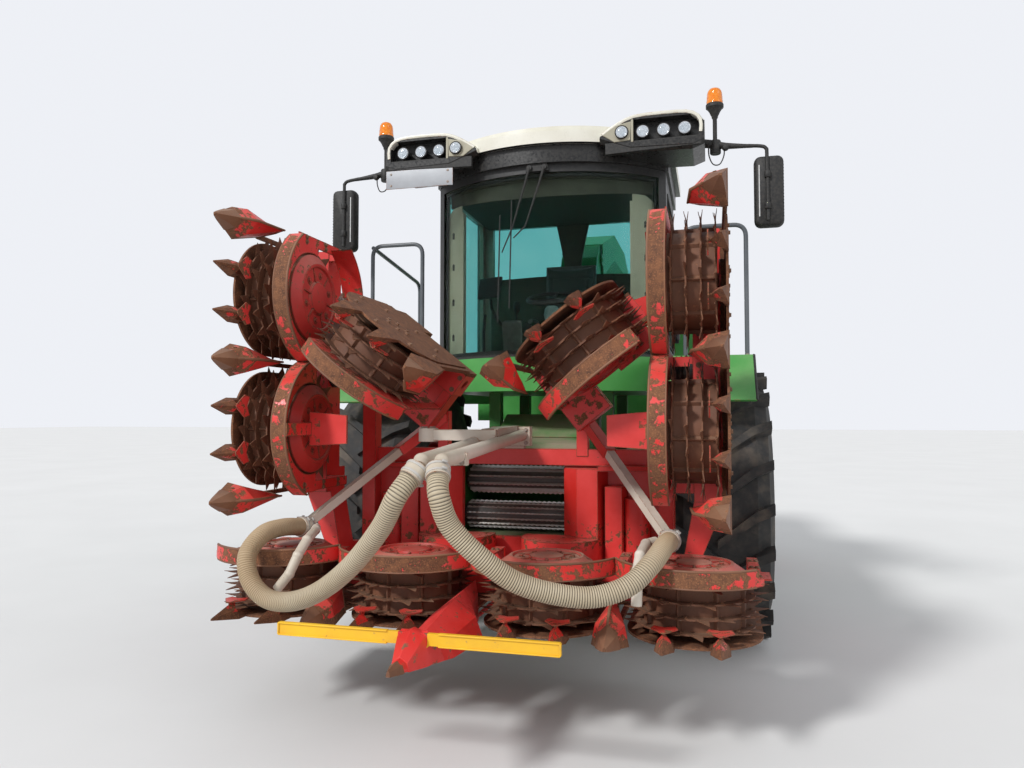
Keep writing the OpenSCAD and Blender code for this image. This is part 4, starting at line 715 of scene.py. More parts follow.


# Fold hinges: a pin through each pair of ears, locked by a washer and a nut at both ends.
for kind, parent, ends in (("wing", "header", (-2.05, -1.75)), ("outer", "wing", (-1.88, -1.66))):
    for side, s in hands.items():
        work = Steelwork(Matrix.Diagonal((s, 1, 1, 1)) @ folds[parent])
        for y, way in zip(ends, (-1, 1)):
            foot = (hinges[kind][0], y, hinges[kind][1])
            work.turned([(0, 0), (0.036, 0), (0.038, 0.002), (0.038, 0.005), (0.035, 0.007), (0, 0.007)],
                        foot, (0, way, 0))
            work.turned([(0, 0.006), (0.024, 0.006), (0.025, 0.008), (0.025, 0.018), (0.021, 0.022),
                         (0.012, 0.023), (0, 0.023)], foot, (0, way, 0), steps=6)
            work.turned([(0, 0.02), (0.011, 0.02), (0.011, 0.034), (0.009, 0.036), (0, 0.036)],
                        foot, (0, way, 0), steps=14)
        body = parent if parent == "header" else parent + "_" + side
        work.done("hinge_pin_" + kind + "_" + side, body, bolt_steel, bevel=0.001, slot="rusty_steel")


# Drive boots: black rubber bellows on the wings' beams, over the couplings of the rotor drive, held
# by a band at the foot.
boot_rubber = mottled("boot_rubber", (40, 5, 0.4, 0.7), (0.012, 0.012, 0.012), (0.06, 0.05, 0.04), 0.6,
                      (150, 3, 0.001, 0.4))
boot_place, boot_folds = (2.215, -1.962, tip_plane_z + 0.1455), 5
for unit in ("wing_left", "wing_right"):
    profile = [(0, 0), (0.084, 0), (0.086, 0.003), (0.086, 0.018), (0.078, 0.021)]
    for k in range(boot_folds):
        profile += [(0.066 - 0.003 * k, 0.026 + 0.027 * k), (0.08 - 0.003 * k, 0.039 + 0.027 * k)]
    profile += [(0.05, 0.165), (0.05, 0.18), (0.044, 0.186), (0, 0.187)]
    work = Steelwork(units[unit][1])
    work.turned(profile, boot_place, (0, 0, 1), steps=36)
    work.done("drive_boot_" + unit, unit, boot_rubber, smooth=50, slot="hose_rubber")


# Push beam: the cream-painted steel tubes that fold the crop forwards, clamped to the intake by
# cast clamps with bolts, and the plastic hose sockets at their ends.
cream_paint = painted("cream_paint", (0.64, 0.585, 0.5), (0.52, 0.455, 0.365), wear=0.35, rough=0.4,
                      dust=0.25, edge=0.008)
coat(cream_paint, "push_frame")
band_steel = painted("band_steel", (0.36, 0.34, 0.31), (0.46, 0.44, 0.41), wear=0.4, rough=0.35, dust=0.15,
                     edge=0.002)
work = Steelwork()
for side, route in hose_routes.items():
    marks = [Vector(p) for p in smooth_path(route, 3)]
    for spot, way in ((marks[0], (marks[0] - marks[1]).normalized()),
                      (marks[-1], (marks[-1] - marks[-2]).normalized())):
        for step in (0.012, 0.052):
            foot = spot + way * step
            work.turned([(0.05, 0), (0.0565, 0), (0.057, 0.002), (0.057, 0.01), (0.0565, 0.012),
                         (0.05, 0.012)],
                        foot, way, steps=40)
            aside = way.orthogonal().normalized()
            work.turned([(0, -0.012), (0.006, -0.012), (0.007, -0.01), (0.007, 0.01), (0.006, 0.012),
                         (0, 0.012)],
                        foot + way * 0.006 + aside * 0.063, aside.cross(way), steps=10)
work.done("hose_bands", "header", band_steel, bevel=0.0006, slot="bright_steel")
spots = []
for s in (-1, 1):
    for dx in (-0.028, 0.028):
        spots += [((s * (1.01 + dx), -2.5 + dy, 1.03), (0, 0, 1)) for dy in (-0.028, 0.028)]
        spots += [((s * (1.01 + dx), -2.546, 0.99 + dz), (0, -1, 0)) for dz in (-0.022, 0.022)]
spots += [((x - 0.335, y - 2.33, 1.538), (0, 0, 1)) for x, y in circle(4, 0.034, math.pi / 4)]
spots += [((x, -2.961, z), (0, -1, 0)) for x in (-0.075, 0.075) for z in (1.386, 1.418)]
spots += [((x, -1.781, z), (0, -1, 0)) for x in (-0.1, 0.1) for z in (1.44, 1.52)]
bolt_piece("clamp_bolts", "header", spots, bolt_steel, 0.017, 0.01, "rusty_steel")


# Feed rolls: silver steel rollers whose welded strips have saw-cut edges, so that they pull the crop
# in; the strips stand in rows round the roll. The roll body between the strips is painted near-black
# as shade, so that the bright strips read as lit bands.
roll_steel = painted("roll_steel", (0.68, 0.67, 0.64), (0.52, 0.5, 0.46), wear=0.12, rough=0.3,
                     rust=((0.22, 0.15, 0.1), (0.36, 0.27, 0.19)), dust=0.1, edge=0.003, metal=0.55)
roll_half, roll_body_half, strip_half, roll_strip_r, strip_teeth = 0.378, 0.355, 0.34, 0.0945, 42
# Painted shade: the near-black body colour between the silver strips stands in for the shade there.
roll_painted_shade = painted("roll_painted_shade", (0.04, 0.037, 0.033), (0.075, 0.066, 0.056), wear=0.3, rough=0.45,
                    rust=((0.08, 0.05, 0.03), (0.18, 0.12, 0.08)), dust=0.15, edge=0.003)
for name, centre, body_r, strips in (("roll_upper", (0, -1.49, 1.19), 0.069, 10),
                                     ("roll_lower", (0, -1.53, 0.962), 0.081, 14)):
    rings = []
    for k in range(strip_teeth + 1):
        along = -strip_half + 2 * strip_half * k / strip_teeth
        crest = roll_strip_r if k % 2 else roll_strip_r - 0.008
        rings.append([(body_r - 0.006, -0.006, along), (body_r - 0.006, 0.006, along),
                      (crest, 0.004, along), (crest, -0.001, along)])
    strip = Steelwork()
    strip.skin(rings)
    work = Steelwork(Matrix.Translation(centre) @ Matrix.Rotation(math.pi / 2, 4, "Y"))
    # The body takes the painted shade (finish 1), the strips keep the silver steel.
    work.turned([(0, -roll_half), (0.0295, -roll_half), (0.0295, -roll_body_half),
                 (body_r - 0.003, -roll_body_half), (body_r, -roll_body_half + 0.003),
                 (body_r, roll_body_half - 0.003), (body_r - 0.003, roll_body_half), (0.0295, roll_body_half),
                 (0.0295, roll_half), (0, roll_half)], (0, 0, 0), (0, 0, 1), m=1, steps=48)
    work.take(ring_of(strip, strips))
    work.done(name + "_toothed", name, roll_steel, roll_painted_shade, smooth=30, slot="bright_steel",
              replaces=["feed_" + name])


# Cab: a welded steel frame that is green up to the sill and black round the glass outside, and lined
# with khaki plastic inside.
sill_height, cab_half_width, screen_radius, screen_centre_y = 2.04, 0.9, 1.2125, 0.2125
green_paint = painted("green_paint", (0.05, 0.26, 0.05), (0.08, 0.33, 0.075), wear=0.05, rough=0.26,
                      dust=0.22)
cab_paint, tree, shader = nodes_of("cab_green_black_and_khaki")
x, y, z = axes(own_place(tree))
cloudy, speckled = pattern(tree, 2.5, 5), pattern(tree, 55, 4)
green_skin = blend_of(between(cloudy, 0.38, 0.66), (0.05, 0.26, 0.05), (0.08, 0.33, 0.075))
black_skin = blend_of(between(speckled, 0.4, 0.7), (0.012, 0.012, 0.012), (0.03, 0.029, 0.027))
khaki_skin = blend_of(between(speckled, 0.35, 0.7), (0.205, 0.195, 0.15), (0.25, 0.238, 0.185))
flat = made(tree, "ShaderNodeCombineXYZ", {"X": x, "Y": y - screen_centre_y})
from_centre = made(tree, "ShaderNodeVectorMath", {0: flat}, "Value", operation="LENGTH")
inside = (abs(x) < cab_half_width - 0.012) * (y < 0.508)
inside *= (from_centre < screen_radius - 0.012).sum("MAXIMUM", (y < -0.59) * -1 + 1)
upper = blend_of(inside, black_skin, khaki_skin)
feed(shader, {"Base Color": blend_of(z > sill_height + 0.001, green_skin, upper),
              "Roughness": between(speckled, 0.3, 0.7, 0.3, 0.48)})
raise_by(shader, speckled, 0.0006, 0.3)
coat(cab_paint, "cab_shell", "door_left")


# Glass: safety glass with a film of dust; the windscreen, bent round the front of the cab and glued
# in, is nearly clear, while the side and rear panes and the door's are dyed blue-green.
tinted_glass, tree, shader = nodes_of("tinted_glass")
haze = between(pattern(tree, 2.2, 6), 0.35, 0.75)
screen_tone = blend_of(haze, (0.74, 0.84, 0.8), (0.8, 0.87, 0.83))
pane_tone = blend_of(haze, (0.15, 0.5, 0.5), (0.19, 0.54, 0.53))
feed(shader, {"Base Color": blend_of(axes(own_place(tree))[1] > -0.56, screen_tone, pane_tone),
              "Roughness": between(haze, 0, 1, 0.01, 0.05), "Transmission Weight": 1.0, "IOR": 1.1})
coat(tinted_glass, "cab_glass", "door_glass")


# Screen surround and pillar trims: a black rubber seal glued round the bent windscreen, khaki
# plastic panels clipped inside the front pillars, and a dark lining across the top, down the middle
# of the back and over its lower half.
def on_screen(x, back=0.0):
    """y of the windscreen's outer face at x, set back by back."""
    return screen_centre_y - math.sqrt((screen_radius - 0.01 - back) ** 2 - x * x)


def bent_panel(work, x0, x1, z_low, z_high, back, thick, steps=14):
    """A panel that follows the windscreen; its lower and upper edges may be rules of x."""
    rings = []
    for k in range(steps + 1):
        x = x0 + (x1 - x0) * k / steps
        low, high = (f(x) if callable(f) else f for f in (z_low, z_high))
        near, far = on_screen(x, back), on_screen(x, back + thick)
        rings.append([(x, near, low), (x, far, low), (x, far, high), (x, near, high)])
    work.skin(rings)


seal_rubber = mottled("seal_rubber", (70, 4, 0.4, 0.7), (0.008, 0.008, 0.008), (0.03, 0.027, 0.023), 0.62,
                      (240, 2, 0.0005, 0.4))
khaki_plastic = mottled("khaki_plastic", (12, 5, 0.35, 0.7), (0.33, 0.305, 0.225), (0.385, 0.36, 0.27), 0.55,
                        (420, 2, 0.0008, 0.4))
olive_lining = mottled("olive_lining", (20, 5, 0.35, 0.7), (0.04, 0.04, 0.027), (0.06, 0.058, 0.04), 0.8,
                       (500, 2, 0.001, 0.5))
work = Steelwork()
bent_panel(work, -0.838, 0.838, 2.06, 2.092, 0.012, 0.01)
bent_panel(work, -0.838, 0.838, 3.362, 3.388, 0.012, 0.01)
for s in (-1, 1):
    bent_panel(work, s * 0.812, s * 0.838, 2.092, 3.362, 0.012, 0.01, steps=3)
work.done("screen_seal", "machine", seal_rubber, bevel=0.002, slot="black_plastic")
work = Steelwork()
for s in (-1, 1):
    bent_panel(work, s * 0.662, s * 0.838, 2.07, lambda x: 3.255 - 0.9 * max(0, abs(x) - 0.76), 0.03, 0.014,
               steps=6)
    bent_panel(work, s * 0.646, s * 0.664, 2.07, 3.2, 0.026, 0.06, steps=2)
work.done("pillar_trims", "machine", khaki_plastic, bevel=0.003, slot="black_plastic")
work = Steelwork()
for s in (-1, 1):
    for z in (2.22, 2.5, 2.78, 3.03):
        x = s * 0.752
        y = on_screen(x, 0.03)
        work.skin([[(x - 0.009, y - 0.004 + g, z - 0.022), (x + 0.009, y - 0.004 + g, z - 0.022),
                    (x + 0.009, y - 0.004 + g, z + 0.022), (x, y - 0.004 + g, z + 0.03),
                    (x - 0.009, y - 0.004 + g, z + 0.022)] for g in (-0.003, 0.006)])
work.done("trim_clips", "machine", seal_rubber, bevel=0.0008, slot="black_plastic")
work = Steelwork()
bent_panel(work, -0.8, 0.8, lambda x: 3.225 + 0.05 * (x / 0.8) ** 2, 3.384, 0.05, 0.02, steps=20)
ceiling = [(-0.8, -0.62), (-0.62, -0.775), (-0.4, -0.9), (0, -0.955), (0.4, -0.9), (0.62, -0.775),
           (0.8, -0.62), (0.8, 0.455), (-0.8, 0.455)]
work.prism("z", ceiling, (3.352, 3.384))
work.stack([(-w, w, 0.44, 0.472, z) for w, z in ((0.15, 3.36), (0.125, 3.24), (0.085, 3.05), (0.06, 2.86),
                                                  (0.055, 2.6), (0.075, 2.35), (0.12, 2.21))])
work.prism("y", ((-0.775, 2.12), (0.775, 2.12), (0.775, 2.8), (0.7, 2.875), (0.3, 2.89), (-0.3, 2.89),
                 (-0.7, 2.875), (-0.775, 2.8)), (0.446, 0.466))
work.done("headliner", "machine", olive_lining, bevel=0.003, slot="black_plastic")


# Operator's place: a sprung seat with cloth cushions on ribbed rubber bellows, a teal steering
# column with a three-spoke wheel, a control console with a lever and a screen on an arm.
seat_cloth = mottled("seat_cloth", (300, 2, 0.35, 0.65), (0.03, 0.036, 0.032), (0.062, 0.07, 0.062), 0.9,
                     (300, 2, 0.0012, 0.5), {"Sheen Weight": 0.25})
teal_plastic = mottled("teal_plastic", (18, 4, 0.35, 0.65), (0.105, 0.165, 0.16), (0.14, 0.205, 0.195), 0.5,
                       (300, 2, 0.0008, 0.35))
grey_plastic = mottled("grey_plastic", (25, 4, 0.35, 0.65), (0.07, 0.075, 0.068), (0.105, 0.11, 0.1), 0.55,
                       (300, 2, 0.0008, 0.35))


def cushion(width, depth, height, crown, steps=26):
    """A crowned pad whose sides pull in between the corners."""
    points, faces = [], []
    for face in (0, 1):
        for i in range(steps + 1):
            for j in range(steps + 1):
                u, v = 2 * i / steps - 1, 2 * j / steps - 1
                rise = math.sqrt(max(0, (1 - abs(u) ** 4) * (1 - abs(v) ** 4)))
                top = height / 2 + crown * (1 - u * u) * (1 - v * v)
                points.append((u * width / 2 * (1 - 0.05 * (1 - v * v)),
                               v * depth / 2 * (1 - 0.05 * (1 - u * u)), -height / 2 * rise if face
                               else top * rise))
        for i in range(steps):
            for j in range(steps):
                a = (face * (steps + 1) + i) * (steps + 1) + j
                quad = [a, a + 1, a + steps + 2, a + steps + 1]
                faces.append(quad if face else quad[::-1])
    shape = bpy.data.meshes.new("cushion")
    shape.from_pydata(points, [], faces)
    weld = bmesh.new()
    weld.from_mesh(shape)
    bmesh.ops.remove_doubles(weld, verts=weld.verts, dist=0.0006)
    bmesh.ops.recalc_face_normals(weld, faces=weld.faces)
    weld.to_mesh(shape)
    weld.free()
    return shape


def swell(shape, cap):
    """Blows the pad up as cloth, with no point moving further than cap."""
    scene = bpy.context.scene
    pad = in_scene("pad", shape)
    voxels = pad.modifiers.new("voxels", "REMESH")
    voxels.mode = "VOXEL"
    voxels.voxel_size = 0.006
    even = bpy.data.meshes.new_from_object(pad.evaluated_get(bpy.context.evaluated_depsgraph_get()))
    bpy.data.objects.remove(pad)
    start = [v.co.copy() for v in even.vertices]
    pad = in_scene("pad", even)
    cloth = pad.modifiers.new("cloth", "CLOTH")
    cloth.settings.use_pressure = True
    cloth.settings.uniform_pressure_force = 4.0
    cloth.settings.quality = 5
    cloth.settings.tension_stiffness = 25
    cloth.settings.compression_stiffness = 25
    cloth.settings.effector_weights.gravity = 0
    cloth.point_cache.frame_end = 16
    for step in range(1, 17):
        scene.frame_set(step)
    blown = bpy.data.meshes.new_from_object(pad.evaluated_get(bpy.context.evaluated_depsgraph_get()))
    bpy.data.objects.remove(pad)
    scene.frame_set(1)
    for vertex, old in zip(blown.vertices, start):
        moved = vertex.co - old
        if moved.length > cap:
            vertex.co = old + moved * (cap / moved.length)
    return blown


seat_turn = Matrix.Translation((0, 0.045, 2.232))
back_turn = Matrix.Translation((0, 0.292, 2.63)) @ Matrix.Rotation(math.radians(83), 4, "X")
for name, size, seams, turn in (("seat_cushion", (0.47, 0.4, 0.095, 0.012), (-0.115, 0.0, 0.115), seat_turn),
                                ("back_cushion", (0.45, 0.64, 0.075, 0.012), (-0.19, -0.06, 0.07, 0.2),
                                 back_turn)):
    shape = swell(cushion(*size), cap=0.008)
    for vertex in shape.vertices:
        if vertex.co.z > 0:
            rise = min(1, vertex.co.z / 0.03)
            for line in seams:
                vertex.co.z -= 0.01 * rise * math.exp(-((vertex.co.y - line) / 0.008) ** 2)
            vertex.co.z -= 0.007 * rise * math.exp(-((abs(vertex.co.x) - size[0] * 0.34) / 0.007) ** 2)
    shape.transform(turn)
    shape.materials.clear()
    shape.materials.append(seat_cloth)
    shape.shade_smooth()
    pad = in_scene(name, shape)
    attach(pad, "machine")
work = Steelwork()
work.box((-0.24, -0.13, 1.852), (0.24, 0.25, 1.885), 1)
for k in range(7):
    low = 1.892 + k * 0.036
    grow = 0.012 if k % 2 else 0.0
    for z0, z1, g0, g1 in ((low, low + 0.018, grow, grow + 0.014),
                           (low + 0.018, low + 0.034, grow + 0.014, grow)):
        work.stack([(-0.205 - g, 0.205 + g, -0.105 - g, 0.225 + g, z) for z, g in ((z0, g0), (z1, g1))])
work.prism("z", ((-0.235, -0.145), (0.235, -0.145), (0.25, 0.25), (-0.25, 0.25)), (2.146, 2.176), 1)
work.stack([(-0.225, 0.225, y0, y1, z) for y0, y1, z in
            ((0.262, 0.3, 2.2), (0.3, 0.34, 2.4), (0.335, 0.385, 2.75), (0.352, 0.392, 2.955))], 1)
for s in (-1, 1):
    work.tube([(s * 0.262, 0.25, 2.24), (s * 0.268, 0.24, 2.4), (s * 0.27, 0.1, 2.425),
               (s * 0.268, -0.1, 2.41)],
              [0.014, 0.016, 0.026, 0.022], m=1)
work.done("seat_frame", "machine", seal_rubber, grey_plastic, bevel=0.004, slot="black_plastic",
          replaces=["cab_interior"])
work = Steelwork()
work.turned([(0, 0), (0.085, 0), (0.088, 0.006), (0.08, 0.03), (0.052, 0.055), (0.05, 0.062), (0, 0.062)],
            (0, -0.62, 1.853), (0, 0, 1), steps=28)
work.tube([(0, -0.62, 1.9), (0, -0.602, 1.99), (0, -0.556, 2.17), (0, -0.52, 2.315), (0, -0.507, 2.365),
           (0, -0.498, 2.4), (0, -0.485, 2.45), (0, -0.478, 2.475)],
          [0.043, 0.041, 0.04, 0.042, 0.052, 0.064, 0.058, 0.036], sides=24)
work.box((-0.048, -0.56, 2.3), (0.048, -0.47, 2.318))
work.done("steering_column", "machine", teal_plastic, bevel=0.003, slot="black_plastic")
tilt = Matrix.Translation((0, -0.47, 2.528)) @ Matrix.Rotation(math.radians(20), 4, "X")
work = Steelwork(tilt)
work.tube([(x, y, 0.014) for x, y in circle(56, 0.195) + [(0.195, 0)]], 0.0165, sides=14)
for a in (math.radians(90), math.radians(205), math.radians(335)):
    work.tube([(r * math.cos(a), r * math.sin(a), z) for r, z in ((0.03, 0.0), (0.11, 0.002), (0.19, 0.013))],
              [0.017, 0.012, 0.01], sides=10)
work.turned([(0, -0.035), (0.04, -0.03), (0.046, -0.006), (0.042, 0.01), (0.028, 0.017), (0, 0.019)],
            (0, 0, 0), (0, 0, 1), steps=28)
work.turned([(0, 0), (0.014, 0), (0.018, 0.016), (0.02, 0.034), (0.012, 0.048), (0, 0.052)],
            (0.168, -0.1, 0.024), (0, 0, 1), steps=16)
work.done("steering_wheel", "machine", seal_rubber, smooth=60, slot="black_plastic")
work = Steelwork()
work.stack(((-0.47, -0.305, -0.2, 0.235, 1.852), (-0.47, -0.305, -0.22, 0.235, 2.1),
            (-0.478, -0.302, -0.255, 0.238, 2.34), (-0.474, -0.306, -0.258, 0.236, 2.385),
            (-0.455, -0.322, -0.245, 0.225, 2.405)))
work.skin([[(-0.45, -0.18, 2.404), (-0.335, -0.18, 2.404), (-0.335, -0.06, 2.418), (-0.45, -0.06, 2.418)],
           [(-0.444, -0.175, 2.41), (-0.341, -0.175, 2.41), (-0.341, -0.065, 2.424),
            (-0.444, -0.065, 2.424)]], 1)
work.tube([(-0.392, -0.09, 2.41), (-0.392, -0.095, 2.46), (-0.388, -0.105, 2.5)], [0.011, 0.01, 0.012], m=1)
work.turned([(0, -0.055), (0.02, -0.05), (0.029, -0.015), (0.027, 0.025), (0.018, 0.045), (0, 0.05)],
            (-0.386, -0.11, 2.535), (0.1, -0.25, 1), m=1, steps=18)
for i in range(4):
    for j in range(3):
        x, y = -0.432 + 0.03 * i, 0.03 + 0.036 * j
        work.stack(((x, x + 0.02, y, y + 0.024, 2.404), (x + 0.002, x + 0.018, y + 0.002, y + 0.022, 2.411)),
                   1)
work.done("console", "machine", grey_plastic, seal_rubber, bevel=0.003, slot="black_plastic")
work = Steelwork()
work.tube([(-0.46, -0.2, 2.33), (-0.52, -0.26, 2.42), (-0.545, -0.34, 2.5), (-0.545, -0.37, 2.6)], 0.011)
screen = Steelwork(Matrix.Translation((-0.545, -0.375, 2.66)) @ Matrix.Rotation(math.radians(-22), 4, "Z")
                   @ Matrix.Rotation(math.radians(-12), 4, "X"))
screen.skin([[(-w, y, -h), (w, y, -h), (w, y, h), (-w, y, h)] for w, h, y in
             ((0.105, 0.082, -0.018), (0.112, 0.089, -0.012), (0.112, 0.089, 0.008), (0.08, 0.06, 0.024))])
screen.prism("y", ((-0.094, -0.062), (0.094, -0.062), (0.094, 0.068), (-0.094, 0.068)), (0.012, 0.0255), 1)
work.join(screen)
work.tube([(-0.62, -0.3, 1.86), (-0.62, -0.31, 2.3), (-0.6, -0.33, 2.45)], 0.012)
work.done("monitor", "machine", seal_rubber, grey_plastic, bevel=0.003, slot="black_plastic")
work = Steelwork()
work.stack([(0.36, 0.68, 0.02, 0.34, z) for z in (1.852, 1.9, 2.12)])
work.stack([(0.37, 0.67, y0, y1, z) for y0, y1, z in
            ((0.02, 0.33, 2.121), (0.01, 0.335, 2.15), (0.02, 0.335, 2.185), (0.06, 0.32, 2.195))], 1)
work.stack([(0.38, 0.66, y0, y1, z) for y0, y1, z in
            ((0.3, 0.345, 2.2), (0.315, 0.375, 2.35), (0.335, 0.395, 2.55), (0.355, 0.4, 2.6))], 1)
work.stack([(-0.785, -0.685, y0, y1, z) for y0, y1, z in
            ((-0.45, 0.3, 1.852), (-0.44, 0.29, 2.05), (-0.38, 0.22, 2.09))])
work.done("second_seat", "machine", grey_plastic, seat_cloth, bevel=0.006, slot="black_plastic")


# Roof: a moulded shell in cream white over a black underside; its front corners rise to two eyebrow
# shaped housings whose dark recesses hold the work lamps.
ear_recess_x = (0.69, 1.15)
roof_paint, tree, shader = nodes_of("roof_white_over_black")
x, y, z = axes(own_place(tree))
_, normal_y, normal_z = axes(made(tree, "ShaderNodeNewGeometry", out="Normal"))
aside = abs(x)
rise = aside * 0.545 + (3.64 - 0.46 * 0.545)
fall = aside * -0.875 + (3.76 + 1.11 * 0.875)
shell_top = rise.sum("MINIMUM", fall).sum("MINIMUM", 3.76)
dark_front = (z < shell_top - 0.034) * (normal_y < -0.35) * (aside > 0.462) * (y < -0.6)
recess = (aside > ear_recess_x[0] - 0.0005) * (aside < ear_recess_x[1] + 0.0005)
recess = (y < -0.9395) * (z < 3.7055) * recess
below = (z < 3.5795).sum("MAXIMUM", normal_z < -0.3)
dark = dark_front.sum("MAXIMUM", recess).sum("MAXIMUM", below)
cream = blend_of(between(pattern(tree, 3.5, 6), 0.4, 0.72), (0.7, 0.685, 0.6), (0.6, 0.575, 0.48))
speckled = pattern(tree, 60, 4)
black = blend_of(between(speckled, 0.4, 0.7), (0.01, 0.01, 0.01), (0.028, 0.026, 0.023))
feed(shader, {"Base Color": blend_of(dark, cream, black),
              "Roughness": between(speckled, 0.3, 0.7, 0.24, 0.42)})
raise_by(shader, speckled, 0.0005, 0.3)
coat(roof_paint, "cab_roof")


# Eyebrow lips and lamp panels: the rounded front edge of each raised corner, and beside its recess
# an arrow-shaped khaki panel that points to the middle and carries one lamp.
roof_skin = painted("roof_skin", (0.7, 0.685, 0.6), (0.6, 0.575, 0.48), wear=0.0, rough=0.26, dust=0.08)
edge = [(0.47, 3.628), (0.52, 3.662), (0.58, 3.699), (0.64, 3.728), (0.7, 3.7465), (0.79, 3.754),
        (0.9, 3.7555), (1.0, 3.754), (1.07, 3.748), (1.12, 3.733), (1.158, 3.706), (1.181, 3.67),
        (1.188, 3.625), (1.184, 3.575)]
lip = ((-0.975, 0.004), (-1.02, 0.004), (-1.0345, 0.011), (-1.037, 0.021), (-1.0335, 0.031), (-1.018, 0.034),
       (-0.975, 0.03))
for name, s in hands.items():
    work = Steelwork()
    rings = []
    for i, (x, z) in enumerate(edge):
        before, after = Vector(edge[max(i - 1, 0)]), Vector(edge[min(i + 1, len(edge) - 1)])
        way = (after - before).normalized()
        rings.append([(s * (x + way.y * deep), y, z - way.x * deep) for y, deep in lip])
    work.skin(rings)
    work.done("roof_lip_" + name, "machine", roof_skin, smooth=50, slot="roof_paint")
lamp_panel = [(0.478, 3.612), (0.556, 3.668), (0.684, 3.692), (0.679, 3.558), (0.566, 3.551)]
work = Steelwork()
for s in (-1, 1):
    work.skin([[(s * (0.597 + (x - 0.597) * g), y, 3.616 + (z - 3.616) * g) for x, z in lamp_panel]
               for y, g in ((-1.022, 1.0), (-1.0335, 1.0), (-1.036, 0.955))])
    work.prism("y", [(s * x, z) for x, z in ((0.684, 3.545), (0.7, 3.545), (0.7, 3.706), (0.684, 3.706))],
               (-1.02, -1.034))
work.done("lamp_panels", "machine", khaki_plastic, bevel=0.002, slot="roof_paint")
work = Steelwork()
for s in (-1, 1):
    work.box((s * 0.7, -1.028, 3.528), (s * 1.165, -0.945, 3.5465))
    work.prism("y", [(s * x, z) for x, z in ((0.5, 3.47), (1.17, 3.492), (1.176, 3.56), (0.5, 3.552))],
               (-1.026, -0.985))
work.done("lamp_sills", "machine", seal_rubber, bevel=0.004, slot="black_plastic")


# Lamps: round work lamps with chrome bowls behind clear domed lenses in black rings, three in each
# recess on brackets and one in each arrow panel; red lamps with ribbed lenses at the rear.
chrome = mottled("lamp_chrome", (90, 3, 0.3, 0.7), (0.62, 0.64, 0.66), (0.82, 0.83, 0.84), 0.12,
                 (160, 2, 0.0006, 0.5), {"Metallic": 1.0})
lens_glass = mottled("lamp_lens", (12, 3, 0.3, 0.7), (0.86, 0.9, 0.92), (0.94, 0.96, 0.97), 0.04,
                     (130, 1, 0.0006, 0.4), {"Transmission Weight": 1.0, "IOR": 1.25})
red_lens = mottled("red_lens", (60, 3, 0.3, 0.7), (0.5, 0.01, 0.008), (0.66, 0.02, 0.014), 0.12,
                   also={"Coat Weight": 0.6})
lamp_places = [(s * x, -1.01, 3.62, 0.047) for s in (-1, 1) for x in (0.765, 0.91, 1.055)]
lamp_places += [(s * 0.62, -1.046, 3.615, 0.046) for s in (-1, 1)]
bodies, lenses, bowls = Steelwork(), Steelwork(), Steelwork()
for x, y, z, r in lamp_places:
    in_recess = y > -1.03
    deep = 0.058 if in_recess else 0.018
    for work, m, steps, profile in (
            (bodies, 0, 32, ((0, deep), (0.55, deep), (0.85, deep * 0.6), (1.02, 0.01), (1.05, 0),
                             (1.05, -0.007), (0.98, -0.01), (0.92, -0.006), (0.9, 0), (0.62, 0.01),
                             (0.3, 0.014), (0, 0.015))),
            (bodies, 1, 14, ((0, -0.001), (0.17, 0), (0.2, 0.01), (0.12, 0.013), (0, 0.0135))),
            (lenses, 0, 32, ((0.9, -0.001), (0.9, -0.005), (0.8, -0.0095), (0.55, -0.013), (0.25, -0.015),
                             (0, -0.0155), (0, -0.0135), (0.25, -0.013), (0.55, -0.011), (0.8, -0.0075),
                             (0.88, -0.003))),
            (bowls, 0, 32, ((0.895, -0.0085), (0.88, -0.004), (0.66, 0.006), (0.4, 0.0095), (0.21, 0.0102),
                            (0.21, 0.009), (0.4, 0.008), (0.66, 0.004), (0.86, -0.006)))):
        work.turned([(r * share, deep_at) for share, deep_at in profile], (x, y, z), (0, 1, 0), m=m,
                    steps=steps)
    if in_recess:
        bodies.box((x - 0.012, y + 0.02, z - 0.073), (x + 0.012, y + 0.026, z - 0.03))
        bodies.tube([(x - 0.02, y + 0.03, z - 0.066), (x + 0.02, y + 0.03, z - 0.066)], 0.006, sides=8)
bodies.done("lamp_bodies", "machine", seal_rubber, chrome, smooth=40, slot="lamp_lens", replaces=["lamps"])
bowls.done("lamp_bowls", "machine", chrome, smooth=60, slot="bright_steel")
lenses.done("lamp_lenses", "machine", lens_glass, smooth=60, slot="lamp_lens")
work = Steelwork()
ribs = [(0.0525 - 0.0085 * k, 0.033 + 0.0012 * k + 0.0012 * (k % 2)) for k in range(1, 6)]
for s in (-1, 1):
    work.turned([(0, 0.0), (0.058, 0.0), (0.06, 0.003), (0.06, 0.022), (0.054, 0.026), (0, 0.026)],
                (s * 0.9, 3.48, 1.78), (0, 1, 0), m=1, steps=36)
    work.turned([(0, 0.0245), (0.0535, 0.024), (0.0525, 0.031), *ribs, (0, 0.0395)],
                (s * 0.9, 3.48, 1.78), (0, 1, 0), steps=36)
work.done("tail_lamps", "machine", red_lens, seal_rubber, smooth=40, slot="lamp_lens")
